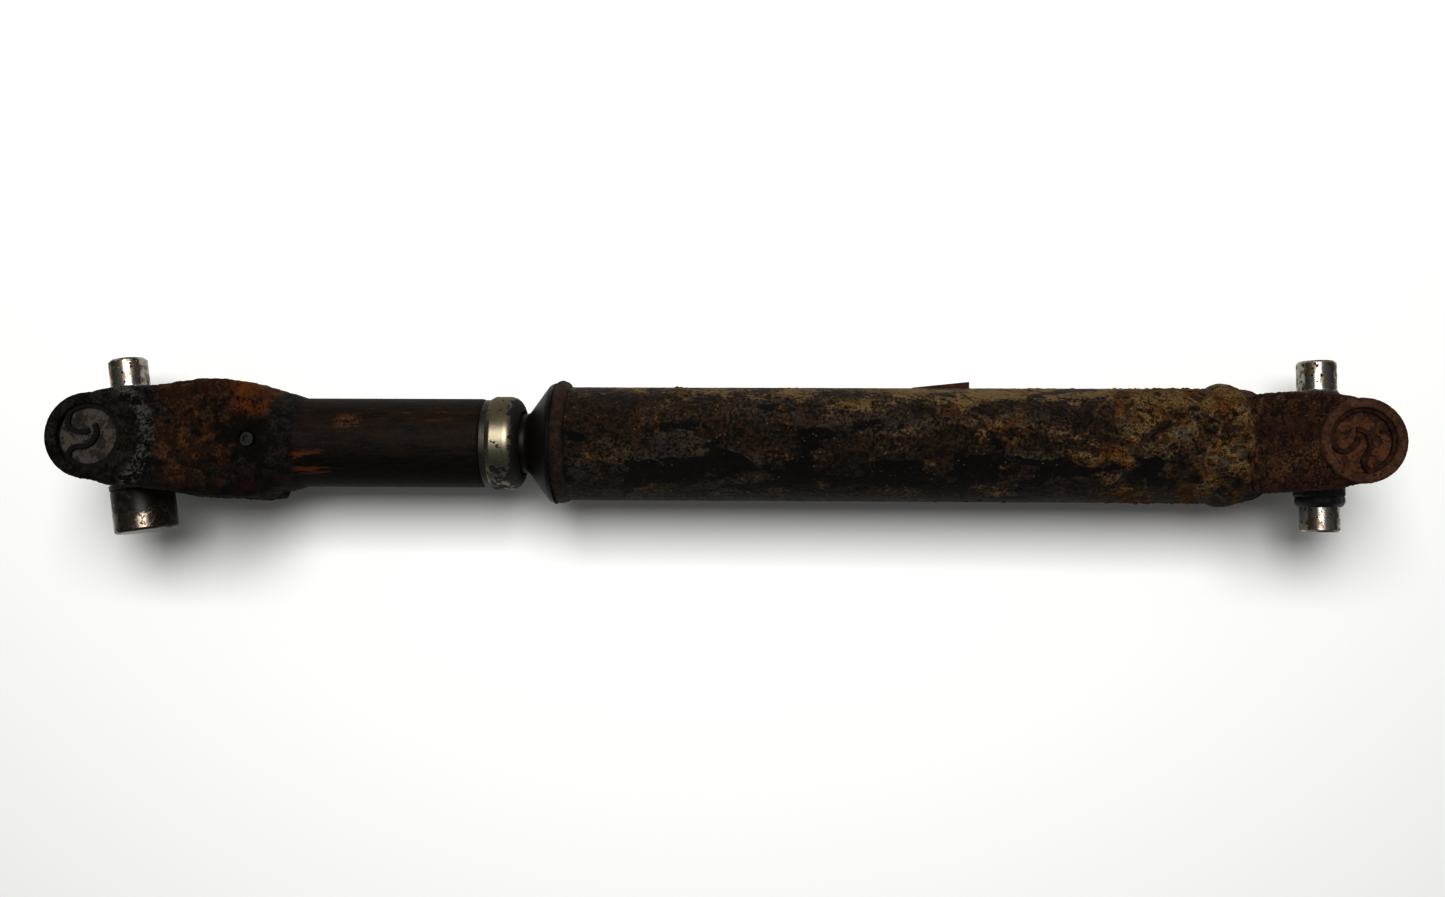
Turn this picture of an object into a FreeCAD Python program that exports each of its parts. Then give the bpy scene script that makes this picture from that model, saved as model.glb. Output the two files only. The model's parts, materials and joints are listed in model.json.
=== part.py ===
"""Universal joint shaft: a tubular drive shaft with a splined slip joint and a cross at each end.

Units are millimetres.  The shaft axis is X and +Z is up.  The origin is the centre of the
tube-end joint, where the two axes of its cross meet.  The slip-end joint is at -X.

Each yoke is drawn in its own station coordinate u, which starts at its joint centre and grows
towards the middle of the shaft, so both forks share the same functions.
"""

import FreeCAD
import Part
import math
import os

V = FreeCAD.Vector
X_AXIS = V(1, 0, 0)
Y_AXIS = V(0, 1, 0)
Z_AXIS = V(0, 0, 1)
ORIGIN = V(0, 0, 0)

# ---- overall ------------------------------------------------------------------------------
closed_length = 531.0          # joint centre to joint centre, slip joint nearly closed
fit_gap = 0.01                 # radial gap of pieces pressed or screwed together

# ---- tube ---------------------------------------------------------------------------------
tube_od = 50.8
tube_wall = 2.1
tube_r = tube_od / 2
tube_bore_r = tube_r - tube_wall

# ---- universal joint kit ------------------------------------------------------------------
trunnion_d = 16.6
trunnion_r = trunnion_d / 2
needle_d = 2.38
needle_gap = 0.015             # radial gap each side of a needle
needle_r = needle_d / 2
needle_pitch_r = trunnion_r + needle_gap + needle_r
needle_count = int(math.pi / math.asin((needle_d + 0.05) / (2 * needle_pitch_r)))
needle_chamfer = 0.3

cup_wall = 2.79
cup_bore_r = needle_pitch_r + needle_r + needle_gap
cup_r = cup_bore_r + cup_wall
cup_span = 81.8                # outer face to outer face of two opposite cups
cup_floor = 3.0
cup_edge = 1.2                 # rounded outer edge of the cup's floor
cup_half = cup_span / 2

end_play = 0.05                # trunnion tip to cup floor
trunnion_tip = cup_half - cup_floor - end_play
trunnion_chamfer = 1.0
arm_step = 2.3                 # forged arm over the ground journal
arm_r = trunnion_r + arm_step
hub_room = 11.4                # from the arm's side to the cup's mouth: seals and nipple stand there
cup_mouth = arm_r + hub_room
arm_end = cup_mouth - 0.5
journal_start = arm_end + 3.0
cross_ball_r = arm_r + 5.4
cross_half_thickness = arm_r + 0.6
oilway_r = 2.5
oilway_sink = 1.6

needle_start = journal_start + 0.4
needle_end = cup_half - cup_floor - 0.4

seal_thickness = 2.4
seal_gap = 0.1                 # seal face to cup mouth
seal_r = cup_r - 0.3
retainer_sheet = 0.5
retainer_skirt = 1.8

# ---- circlip in the ear bore --------------------------------------------------------------
clip_thickness = 1.5
clip_gap = 0.05                # play of the clip in its groove, each way
clip_band = 2.3                # width of the ring and of its two bent lugs
clip_r = cup_r + 0.75          # outer radius, as seated in its groove
clip_opening = 96.0            # angle that the ring leaves open, degrees
groove_r = clip_r + 0.1
outer_lip = 1.5                # ear wall outside the groove
ear_face = cup_half + clip_gap + clip_thickness + clip_gap + outer_lip
bore_chamfer = 0.6

# ---- forks --------------------------------------------------------------------------------
cup_proud = 3.5                # cup mouth inside the ear's inner face
ear_inner = cup_mouth + cup_proud
rest_tilt = 8.5                # slip cross as it lies, degrees about +Z

blank_end = -2.0               # station where the arm forgings end, inside the round ears

tube_ear_wall = 4.1
tube_ear_r = cup_r + tube_ear_wall
tube_throat = ear_inner + 3.5  # station of the throat's bottom
tube_throat_corner = ear_inner - 7.5
tube_arm_half = tube_ear_r + 2.1
tube_hip_half = tube_arm_half + 1.2
tube_hip_height = ear_inner + 7.5
tube_neck_r = tube_bore_r + 0.9
tube_neck_end = tube_throat - 0.5
tube_cone_end = tube_neck_end + 9.5
tube_shoulder = tube_cone_end + 4.0    # face that meets the weld
tube_spigot = 14.0
tube_hollow_r = tube_bore_r - 9.3      # mouth of the spigot's hollow

# ---- slip splines and sleeve --------------------------------------------------------------
spline_teeth = 16
spline_od = 28.6
spline_height = 1.7
spline_root_d = spline_od - 2 * spline_height
spline_tooth = 2.7
spline_side_gap = 0.05
spline_radial_gap = 0.1
sleeve_wall = 5.7              # outside the splines' tips
nose_wall = 3.8                # the same, where the dust cap screws on
sleeve_r = spline_od / 2 + sleeve_wall
sleeve_nose_r = spline_od / 2 + nose_wall
sleeve_length = 81.5           # of the full diameter
nose_length = 9.0

slip_ear_wall = 4.7
slip_ear_r = cup_r + slip_ear_wall
slip_throat = ear_inner + 10.5
slip_throat_corner = ear_inner - 5.5
slip_arm_half = slip_ear_r + 4.0
slip_hump_half = slip_arm_half + 3.2
slip_face_cut = slip_ear_r + 7.8       # radius of the cutter that faced the ears
slip_collar_r = sleeve_r + 2.3
slip_hip_height = slip_collar_r + 3.7
slip_collar_start = slip_throat + 26.0
slip_collar_end = slip_collar_start + 9.6
sleeve_start = slip_collar_end + 6.9
sleeve_end = sleeve_start + sleeve_length
sleeve_nose_end = sleeve_end + nose_length
spline_start = slip_throat + 10.0      # station of the stub's tip, as it lies
spline_runout = sleeve_nose_end + 3.0
plug_r = spline_od / 2 + 1.5
plug_depth = 3.4               # counterbore for the plug in the throat
plug_sheet = 1.6
plug_dish = 1.0

# ---- dust cap and its seal ----------------------------------------------------------------
lock_ring_length = 3.0         # ring between the sleeve and the dust cap
lock_ring_r = sleeve_r - 0.5
cap_length = 14.0
cap_start = sleeve_end + lock_ring_length
cap_end = cap_start + cap_length
cap_r = sleeve_r + 1.0
cap_edge_r = cap_r - 1.0
cap_wall = 2.5
cap_shoulder = 6.0             # rounding of its end
cap_hole_r = spline_od / 2 + 0.3
felt_thickness = 3.6
washer_thickness = 1.0

# ---- stub shaft ---------------------------------------------------------------------------
neck_r = spline_root_d / 2 + 0.8
neck_end = cap_end + 3.0
stub_cone_end = neck_end + 10.0
stub_shoulder = stub_cone_end + 2.0    # face that meets the weld, in slip stations
stub_shoulder_r = tube_r + 1.8
stub_spigot = 19.0
stub_hollow_r = tube_bore_r - 8.3      # mouth of the spigot's hollow
weld_gap = 1.6                 # root gap between a shoulder and the tube's end

# ---- welds and balance weight -------------------------------------------------------------
stub_bead_end = stub_shoulder + 6.2
stub_bead_r = tube_r + 2.8
yoke_bead_start = tube_shoulder - 4.0
yoke_bead_end = tube_shoulder + 7.5
yoke_bead_r = tube_r + 2.1
weight_start = 351.5           # thin end of the plate, in slip stations
weight_end = 376.7
weight_thin = 0.3
weight_thick = 2.9
weight_edge = 4.0              # directions of its two long edges, degrees from +Y towards +Z
weight_back_edge = -46.0
weight_tack_r = 2.4
weight_tack_inset = 6.0        # tacks on its back edge, from each end

# ---- grease nipples and grease plug -------------------------------------------------------
nipple_thread_r = 3.0
nipple_shank = 4.5
nipple_hex = 6.0               # across flats
nipple_hex_height = 3.4
nipple_neck_r = 2.1
nipple_head_r = 3.2
nipple_height = 10.5
nipple_boss_r = 4.6
nipple_seat = math.sqrt(2) * arm_r + nipple_hex / math.sqrt(3) + 0.15
grease_plug_r = 3.0
grease_plug_length = 5.0
grease_plug_socket = 3.0       # across the flats of its hexagon socket
grease_plug_station = slip_collar_start - 2.0
grease_plug_top = slip_collar_r + 2.2  # height of its face above the axis


# ---- drawing helpers ----------------------------------------------------------------------
def rounded_edges(corners, place):
    """Edges of a closed outline.  A corner is (a, b) or (a, b, radius); place maps (a, b) to space."""
    count = len(corners)
    entry, exit_, middle = [], [], []
    for i, corner in enumerate(corners):
        here = V(corner[0], corner[1], 0)
        before = V(*corners[i - 1][:2], 0) - here
        after = V(*corners[(i + 1) % count][:2], 0) - here
        radius = corner[2] if len(corner) > 2 else 0
        if radius:
            half = before.getAngle(after) / 2
            reach = radius / math.tan(half)
            to_centre = (before.normalize() + after.normalize()).normalize()
            entry.append(here + before * reach)
            exit_.append(here + after * reach)
            middle.append(here + to_centre * (radius / math.sin(half) - radius))
        else:
            entry.append(here)
            exit_.append(here)
            middle.append(None)
    edges = []
    for i in range(count):
        following = (i + 1) % count
        if middle[i] is not None:
            edges.append(Part.Arc(place(entry[i]), place(middle[i]), place(exit_[i])).toShape())
        if exit_[i].distanceToPoint(entry[following]) > 1e-6:
            edges.append(Part.LineSegment(place(exit_[i]), place(entry[following])).toShape())
    return edges


def outline_face(corners, place):
    return Part.Face(Part.Wire(rounded_edges(corners, place)))


def turned(corners):
    """A solid of revolution about X from corners (x, radius) or (x, radius, rounding)."""
    face = outline_face(corners, lambda p: V(p.x, p.y, 0))
    return face.revolve(ORIGIN, X_AXIS, 360)


def side_prism(corners, half_width):
    """Extrudes an outline drawn in (x, z) from -half_width to half_width along Y."""
    face = outline_face(corners, lambda p: V(p.x, -half_width, p.y))
    return face.extrude(V(0, 2 * half_width, 0))


def plan_prism(corners, half_height):
    """Extrudes an outline drawn in (x, y) from -half_height to half_height along Z."""
    face = outline_face(corners, lambda p: V(p.x, p.y, -half_height))
    return face.extrude(V(0, 0, 2 * half_height))


def end_prism(corners, length):
    """Extrudes an outline drawn in (y, z) along X from -length to length."""
    face = outline_face(corners, lambda p: V(-length, p.x, p.y))
    return face.extrude(V(2 * length, 0, 0))


def mirrored_outline(upper):
    """Closes an outline of upper-half corners with its mirror image below the first axis."""
    lower = [(c[0], -c[1], *c[2:]) for c in reversed(upper)]
    return upper + lower


def hexagon_corners(across_flats):
    """Corners of a regular hexagon round the origin."""
    reach = across_flats / math.sqrt(3)
    angles = [math.radians(60 * i) for i in range(6)]
    return [(reach * math.cos(a), reach * math.sin(a)) for a in angles]


def rod(radius, start, end, direction=X_AXIS, base=ORIGIN):
    """A cylinder along direction, from start to end measured from base."""
    return Part.makeCylinder(radius, end - start, base + direction * start, direction)


def at_slip_end(shape):
    """Moves a shape from slip stations into the frame."""
    moved = shape.copy()
    moved.translate(V(-closed_length, 0, 0))
    return moved


def at_tube_end(shape):
    """Turns a shape from tube-end stations, which grow towards -X, into the frame."""
    moved = shape.copy()
    moved.rotate(ORIGIN, Z_AXIS, 180)
    return moved


def flipped(shape):
    """The same piece at the lower ear: half a turn about X."""
    moved = shape.copy()
    moved.rotate(ORIGIN, X_AXIS, 180)
    return moved


def swung(shape):
    """The slip cross lies turned about its ear bores."""
    moved = shape.copy()
    moved.rotate(ORIGIN, Z_AXIS, rest_tilt)
    return moved


def unswung(shape):
    """The tube cross lies square to its fork."""
    return shape


def solid_of(shape):
    """The one solid of a shape, with split faces joined."""
    return shape.removeSplitter().Solids[0]


# ---- universal joint kit ------------------------------------------------------------------
def journal_profile():
    """Half section of one arm of the cross, drawn along X from the cross centre."""
    return [
        (0, 0),
        (0, arm_r),
        (arm_end, arm_r, 0.6),
        (journal_start, trunnion_r, 2.0),
        (trunnion_tip - trunnion_chamfer, trunnion_r),
        (trunnion_tip, trunnion_r - trunnion_chamfer),
        (trunnion_tip, 0),
    ]


def cross():
    """Forged cross with four ground journals and drilled oilways."""
    arm = turned(journal_profile())
    oilway = turned([
        (0, 0),
        (0, oilway_r),
        (trunnion_tip - oilway_sink, oilway_r),
        (trunnion_tip, oilway_r + oilway_sink),
        (trunnion_tip + 1, oilway_r + oilway_sink),
        (trunnion_tip + 1, 0),
    ])
    reach = 2 * cross_ball_r
    corner = V(-cross_half_thickness, -reach, -reach)
    slab = Part.makeBox(2 * cross_half_thickness, 2 * reach, 2 * reach, corner)
    body = Part.makeSphere(cross_ball_r).common(slab)
    drillings = []
    for axis, angle in ((Z_AXIS, 90), (Z_AXIS, -90), (Y_AXIS, 90), (Y_AXIS, -90)):
        turned_arm = arm.copy()
        turned_arm.rotate(ORIGIN, axis, angle)
        body = body.fuse(turned_arm)
        drilling = oilway.copy()
        drilling.rotate(ORIGIN, axis, angle)
        drillings.append(drilling)
    body = body.fuse(rod(nipple_boss_r, 0, nipple_seat, crotch))
    nipple_hole = rod(nipple_thread_r + fit_gap, 0, nipple_seat + 1, crotch)
    return solid_of(body.cut(drillings + [nipple_hole]))


def cup():
    """Bearing cup over the +Z trunnion."""
    shell = turned([
        (cup_mouth, cup_bore_r),
        (cup_mouth, cup_r, 0.5),
        (cup_half, cup_r, cup_edge),
        (cup_half, 0),
        (cup_half - cup_floor, 0),
        (cup_half - cup_floor, cup_bore_r, 0.3),
    ])
    shell.rotate(ORIGIN, Y_AXIS, -90)
    return shell.Solids[0]


def needles():
    """A full set of needle rollers around the +Z trunnion."""
    needle = turned([
        (needle_start, 0),
        (needle_start, needle_r - needle_chamfer),
        (needle_start + needle_chamfer, needle_r),
        (needle_end - needle_chamfer, needle_r),
        (needle_end, needle_r - needle_chamfer),
        (needle_end, 0),
    ])
    needle.rotate(ORIGIN, Y_AXIS, -90)
    needle.translate(V(needle_pitch_r, 0, 0))
    rollers = []
    for i in range(needle_count):
        roller = needle.copy()
        roller.rotate(ORIGIN, Z_AXIS, i * 360 / needle_count)
        rollers.append(roller.Solids[0])
    return Part.makeCompound(rollers)


def on_arms(piece, angles):
    """Copies of a +Z piece on the arms of the cross that lie at these angles about X."""
    copies = []
    for angle in angles:
        copy = piece.copy()
        copy.rotate(ORIGIN, X_AXIS, angle)
        copies.append(copy.Solids[0])
    return Part.makeCompound(copies)


def seal_ring():
    """Cork ring between the cross and the cup's mouth, on the +Z arm."""
    start = cup_mouth - seal_gap - seal_thickness
    ring = turned([
        (start, arm_r + fit_gap),
        (start, seal_r),
        (start + seal_thickness, seal_r, 0.4),
        (start + seal_thickness, arm_r + fit_gap),
    ])
    ring.rotate(ORIGIN, Y_AXIS, -90)
    return ring


def seal_retainer():
    """Pressed steel dish that holds the cork ring, on the +Z arm."""
    back = cup_mouth - seal_gap - seal_thickness - fit_gap - retainer_sheet
    skirt_r = seal_r + fit_gap
    dish = turned([
        (back, arm_r + fit_gap),
        (back, skirt_r + retainer_sheet, 0.4),
        (back + retainer_sheet + retainer_skirt, skirt_r + retainer_sheet),
        (back + retainer_sheet + retainer_skirt, skirt_r),
        (back + retainer_sheet, skirt_r),
        (back + retainer_sheet, arm_r + fit_gap),
    ])
    dish.rotate(ORIGIN, Y_AXIS, -90)
    return dish


def bent_strip(points, width, bottom, thickness):
    """A flat strip of constant width that follows a smooth line through points (x, y)."""
    line = Part.BSplineCurve()
    line.interpolate([V(x, y, bottom) for x, y in points])
    steps = 4 * (len(points) - 1)
    sides = {1: [], -1: []}
    for i in range(steps + 1):
        t = line.FirstParameter + (line.LastParameter - line.FirstParameter) * i / steps
        along = line.tangent(t)[0]
        across = V(-along.y, along.x, 0) * (width / 2)
        for side in sides:
            sides[side].append(line.value(t) + across * side)
    left, right = Part.BSplineCurve(), Part.BSplineCurve()
    left.interpolate(sides[1])
    right.interpolate(sides[-1][::-1])
    closing = [
        Part.LineSegment(sides[1][-1], sides[-1][-1]).toShape(),
        Part.LineSegment(sides[-1][0], sides[1][0]).toShape(),
    ]
    wire = Part.Wire([left.toShape(), closing[0], right.toShape(), closing[1]])
    return Part.Face(wire).extrude(V(0, 0, thickness))


def circlip(turn):
    """Internal snap ring over the +Z cup: an open ring whose two ends bend inwards as lugs.

    The opening faces -X before the ring is turned about its own axis.
    """
    bottom = cup_half + clip_gap
    inner_r = clip_r - clip_band
    middle_r = clip_r - clip_band / 2
    ring = Part.makeCylinder(clip_r, clip_thickness, V(0, 0, bottom), Z_AXIS)
    ring = ring.cut(Part.makeCylinder(inner_r, clip_thickness, V(0, 0, bottom), Z_AXIS))
    half_open = math.radians(clip_opening / 2)
    reach = 2 * clip_r
    wedge = plan_prism([
        (0, 0),
        (-reach, reach * math.tan(half_open)),
        (-reach, -reach * math.tan(half_open)),
    ], 2 * cup_half)
    ring = ring.cut(wedge)
    end_x = -middle_r * math.cos(half_open)
    end_y = middle_r * math.sin(half_open)
    straight_lug = [
        (end_x + 0.9, end_y + 0.8),
        (end_x - 0.3, end_y - 2.6),
        (end_x + 0.1, end_y - 5.8),
        (end_x + 3.0, end_y - 7.7),
        (end_x + 8.9, end_y - 7.4),
    ]
    hooked_lug = [
        (end_x + 1.5, -end_y - 1.2),
        (end_x + 0.3, -end_y + 1.3),
        (end_x + 2.2, -end_y + 4.6),
        (end_x + 7.4, -end_y + 5.4),
        (end_x + 11.2, -end_y + 8.4),
        (end_x + 11.0, -end_y + 14.6),
    ]
    for points in (straight_lug, hooked_lug):
        ring = ring.fuse(bent_strip(points, clip_band * 0.85, bottom, clip_thickness))
    ring = solid_of(ring)
    ring.rotate(ORIGIN, Z_AXIS, turn)
    return ring


def grease_nipple(direction, seat):
    """Nipple screwed in along direction, with its hexagon's underside at distance seat from the origin."""
    profile = turned([
        (-nipple_shank, 0),
        (-nipple_shank, nipple_thread_r - 0.5),
        (-nipple_shank + 0.5, nipple_thread_r),
        (nipple_hex_height, nipple_thread_r),
        (nipple_hex_height + 1.6, nipple_neck_r),
        (nipple_height - 3.6, nipple_neck_r),
        (nipple_height - 2.2, nipple_head_r, 0.6),
        (nipple_height, 1.5),
        (nipple_height, 0.8),
        (nipple_height - 0.8, 0),
    ])
    hexagon = end_prism(hexagon_corners(nipple_hex), nipple_hex_height / 2)
    hexagon.translate(V(nipple_hex_height / 2, 0, 0))
    nipple = solid_of(profile.fuse(hexagon))
    nipple.Placement = FreeCAD.Placement(direction * seat, FreeCAD.Rotation(X_AXIS, direction))
    return nipple


# ---- forks --------------------------------------------------------------------------------
def ear_cutters():
    """What is bored out of both ears: cup bore, circlip groove and edge chamfer."""
    profile = [
        (0, 0),
        (0, cup_r + fit_gap),
        (cup_half, cup_r + fit_gap),
        (cup_half, groove_r),
        (cup_half + clip_thickness + 2 * clip_gap, groove_r),
        (cup_half + clip_thickness + 2 * clip_gap, cup_r + fit_gap),
        (ear_face - bore_chamfer, cup_r + fit_gap),
        (ear_face, cup_r + fit_gap + bore_chamfer),
        (ear_face + 1, cup_r + fit_gap + bore_chamfer),
        (ear_face + 1, 0),
    ]
    upper = turned(profile)
    upper.rotate(ORIGIN, Y_AXIS, -90)
    return upper.fuse(flipped(upper))


def throat(bottom, corner):
    """The open U between the ears."""
    return side_prism([
        (-ear_face, ear_inner),
        (bottom, ear_inner, corner),
        (bottom, -ear_inner, corner),
        (-ear_face, -ear_inner),
    ], ear_face)


def ears(ear_r):
    """Round bosses of both ears, with a broken outer edge."""
    boss = turned([
        (0, 0),
        (0, ear_r),
        (ear_face, ear_r, 0.7),
        (ear_face, 0),
    ])
    boss.rotate(ORIGIN, Y_AXIS, -90)
    return boss.fuse(flipped(boss))


def arms(plan, side, end_corner, half_width):
    """Forged arms: what a plan outline, a side outline and a rounded end outline have in common."""
    end = [
        (half_width, ear_face + 1, end_corner),
        (-half_width, ear_face + 1, end_corner),
        (-half_width, -ear_face - 1, end_corner),
        (half_width, -ear_face - 1, end_corner),
    ]
    long = 3 * ear_face
    shape = plan_prism(mirrored_outline(plan), 2 * ear_face)
    shape = shape.common(side_prism(mirrored_outline(side), 2 * ear_face))
    return shape.common(end_prism(end, long))


def tube_yoke():
    """Weld yoke: a short fork on a turned neck, with a spigot that is pressed into the tube."""
    plan = [
        (blank_end, 0),
        (blank_end, tube_ear_r - 1.2, 3),
        (7, tube_arm_half, 10),
        (tube_neck_end, tube_hip_half, 8),
        (tube_neck_end + 8, tube_neck_r - 3),
        (tube_neck_end + 8, 0),
    ]
    side = [
        (blank_end, 0),
        (blank_end, ear_face - 2.4, 3),
        (tube_ear_r + 7, ear_face - 3.6, 6),
        (tube_throat + 4, tube_hip_height, 7),
        (tube_neck_end + 8, tube_neck_r - 1),
        (tube_neck_end + 8, 0),
    ]
    fork = arms(plan, side, 10.0, tube_hip_half)
    neck = turned([
        (tube_throat - 9, 0),
        (tube_throat - 9, tube_neck_r - 4, 3),
        (tube_neck_end - 4, tube_neck_r, 3),
        (tube_neck_end, tube_neck_r, 4),
        (tube_cone_end, tube_r - 0.2, 4),
        (tube_shoulder, tube_r),
        (tube_shoulder, tube_bore_r - fit_gap),
        (tube_shoulder + tube_spigot, tube_bore_r - fit_gap, 1),
        (tube_shoulder + tube_spigot, tube_hollow_r),
        (tube_shoulder + 2, tube_hollow_r - 3),
        (tube_shoulder + 2, 0),
    ])
    yoke = fork.fuse([neck, ears(tube_ear_r)])
    return solid_of(yoke.cut([throat(tube_throat, tube_throat_corner), ear_cutters()]))


def spline_prism(root_r, tip_r, tooth, start, end):
    """Parallel-sided teeth on a core, as one prism along X."""
    half = tooth / 2
    root_angle = math.asin(half / root_r)
    tip_angle = math.asin(half / tip_r)
    pitch = 2 * math.pi / spline_teeth

    def point(radius, angle):
        return V(start, radius * math.cos(angle), radius * math.sin(angle))

    edges = []
    for i in range(spline_teeth):
        tooth_angle = i * pitch
        gap_end = tooth_angle + pitch - root_angle
        flank_foot = point(root_r, tooth_angle - root_angle)
        flank_tip = point(tip_r, tooth_angle - tip_angle)
        back_tip = point(tip_r, tooth_angle + tip_angle)
        back_foot = point(root_r, tooth_angle + root_angle)
        edges.append(Part.LineSegment(flank_foot, flank_tip).toShape())
        edges.append(Part.Arc(flank_tip, point(tip_r, tooth_angle), back_tip).toShape())
        edges.append(Part.LineSegment(back_tip, back_foot).toShape())
        middle = point(root_r, tooth_angle + pitch / 2)
        edges.append(Part.Arc(back_foot, middle, point(root_r, gap_end)).toShape())
    return Part.Face(Part.Wire(edges)).extrude(V(end - start, 0, 0))


def slip_yoke():
    """Sleeve yoke: a long fork, a collar and a sleeve broached right through with splines."""
    hump_start, hump_end = slip_throat + 8, slip_collar_start - 1
    plan = [
        (blank_end, 0),
        (blank_end, slip_ear_r - 1.2, 3),
        (7, slip_arm_half - 1.4, 10),
        (slip_throat - 6, slip_arm_half, 20),
        (hump_start, slip_hump_half, 18),
        (hump_end, slip_hump_half, 7),
        (slip_collar_start + 6, slip_collar_r - 1),
        (slip_collar_start + 6, 0),
    ]
    side = [
        (blank_end, 0),
        (blank_end, ear_face - 0.8, 3),
        (slip_throat + 7, ear_face - 2.2, 22),
        (slip_collar_start - 3, slip_hip_height, 9),
        (slip_collar_start + 2, slip_collar_r - 1),
        (slip_collar_start + 2, 0),
    ]
    fork = arms(plan, side, 13.0, slip_hump_half)
    faced = rod(slip_face_cut, ear_inner, ear_face, Z_AXIS)
    faced = faced.common(plan_prism(mirrored_outline(plan), 2 * ear_face))
    face_corner = V(-slip_ear_r / 2, -slip_ear_r, 0)
    faced = faced.common(Part.makeBox(2 * slip_face_cut, 2 * slip_ear_r, 2 * ear_face, face_corner))
    barrel = turned([
        (slip_throat - 9, 0),
        (slip_throat - 9, slip_collar_r - 4, 3),
        (slip_throat + 6, slip_collar_r, 3),
        (slip_collar_end, slip_collar_r, 3),
        (sleeve_start, sleeve_r, 6),
        (sleeve_end - 1.2, sleeve_r),
        (sleeve_end, sleeve_r - 1.0),
        (sleeve_end, sleeve_nose_r - fit_gap),
        (sleeve_nose_end, sleeve_nose_r - fit_gap),
        (sleeve_nose_end, 0),
    ])
    yoke = fork.fuse([barrel, ears(slip_ear_r), faced, flipped(faced)])
    splines = spline_prism(
        spline_root_d / 2 + spline_radial_gap,
        spline_od / 2 + spline_radial_gap,
        spline_tooth + 2 * spline_side_gap,
        slip_throat - 20,
        sleeve_nose_end + 1,
    )
    plug_seat = rod(plug_r + fit_gap, slip_throat - 20, slip_throat + plug_depth)
    port = V(grease_plug_station, 0, 0)
    plug_bottom = grease_plug_top - grease_plug_length
    plug_hole = rod(grease_plug_r + fit_gap, plug_bottom, ear_face, Z_AXIS, port)
    grease_way = rod(grease_plug_socket / 2, 0, ear_face, Z_AXIS, port)
    cutters = [throat(slip_throat, slip_throat_corner), ear_cutters()]
    cutters += [splines, plug_seat, plug_hole, grease_way]
    return solid_of(yoke.cut(cutters))


def grease_plug():
    """Socket-headed plug in the grease hole behind the collar."""
    port = V(grease_plug_station, 0, 0)
    bottom = grease_plug_top - grease_plug_length
    body = rod(grease_plug_r, bottom, grease_plug_top, Z_AXIS, port)
    socket = end_prism(hexagon_corners(grease_plug_socket), grease_plug_length / 2)
    socket.rotate(ORIGIN, Y_AXIS, -90)
    socket.translate(port + Z_AXIS * (grease_plug_top + 1))
    return solid_of(body.cut(socket))


def core_plug():
    """Dished core plug that closes the spline bore in the throat."""
    back = slip_throat + plug_depth
    return turned([
        (back, 0),
        (back, plug_r),
        (back - plug_sheet, plug_r),
        (back - plug_sheet, plug_r - 2, 1),
        (back - plug_sheet - plug_dish, plug_r - 5, 3),
        (back - plug_sheet - plug_dish, 0),
    ]).Solids[0]


# ---- dust cap -----------------------------------------------------------------------------
def dust_cap():
    """Screwed cap over the sleeve's nose, with a rounded shoulder down to the shaft."""
    return turned([
        (cap_start, sleeve_nose_r),
        (cap_start, cap_edge_r),
        (cap_start + 1.8, cap_r, 1.5),
        (cap_end, cap_r, cap_shoulder),
        (cap_end, cap_hole_r, 0.4),
        (cap_end - cap_wall, cap_hole_r),
        (cap_end - cap_wall, sleeve_nose_r),
    ]).Solids[0]


def lock_ring():
    """Plain ring that the dust cap is tightened against."""
    return turned([
        (sleeve_end + fit_gap, sleeve_nose_r),
        (sleeve_end + fit_gap, lock_ring_r, 0.4),
        (cap_start - fit_gap, lock_ring_r, 0.4),
        (cap_start - fit_gap, sleeve_nose_r),
    ]).Solids[0]


def felt_seal():
    """Felt ring that wipes the splines."""
    start = sleeve_nose_end + fit_gap
    return turned([
        (start, spline_od / 2 + 0.1),
        (start, sleeve_nose_r - fit_gap),
        (start + felt_thickness, sleeve_nose_r - fit_gap),
        (start + felt_thickness, spline_od / 2 + 0.1),
    ]).Solids[0]


def seal_washer():
    """Steel washer between the felt and the cap."""
    start = sleeve_nose_end + felt_thickness + 2 * fit_gap
    return turned([
        (start, spline_od / 2 + 0.2),
        (start, sleeve_nose_r - fit_gap),
        (start + washer_thickness, sleeve_nose_r - fit_gap),
        (start + washer_thickness, spline_od / 2 + 0.2),
    ]).Solids[0]


# ---- tube, stub, welds --------------------------------------------------------------------
def stub_shaft():
    """Male splines, neck and welded shoulder, in slip stations."""
    core = turned([
        (spline_start, 0),
        (spline_start, spline_root_d / 2 - 0.8),
        (spline_start + 1.5, spline_od / 2),
        (spline_runout, spline_od / 2),
        (spline_runout + 1.2, neck_r),
        (neck_end, neck_r, 2.5),
        (stub_cone_end, stub_shoulder_r - 0.4, 4),
        (stub_shoulder, stub_shoulder_r),
        (stub_shoulder, tube_bore_r - fit_gap),
        (stub_shoulder + stub_spigot, tube_bore_r - fit_gap, 1),
        (stub_shoulder + stub_spigot, stub_hollow_r),
        (stub_shoulder + 4, stub_hollow_r - 3),
        (stub_shoulder + 4, 0),
    ])
    toothed = spline_prism(
        spline_root_d / 2, spline_od / 2 + 1, spline_tooth, spline_start - 1, spline_runout
    )
    plain = rod(tube_od, spline_runout - 0.001, closed_length)
    return solid_of(core.common(toothed.fuse(plain)))


def tube():
    """Rolled steel tube between the two shoulders, in slip stations."""
    start = stub_shoulder + weld_gap
    end = closed_length - tube_shoulder - weld_gap
    return rod(tube_r, start, end).cut(rod(tube_bore_r, start, end)).Solids[0]


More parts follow.
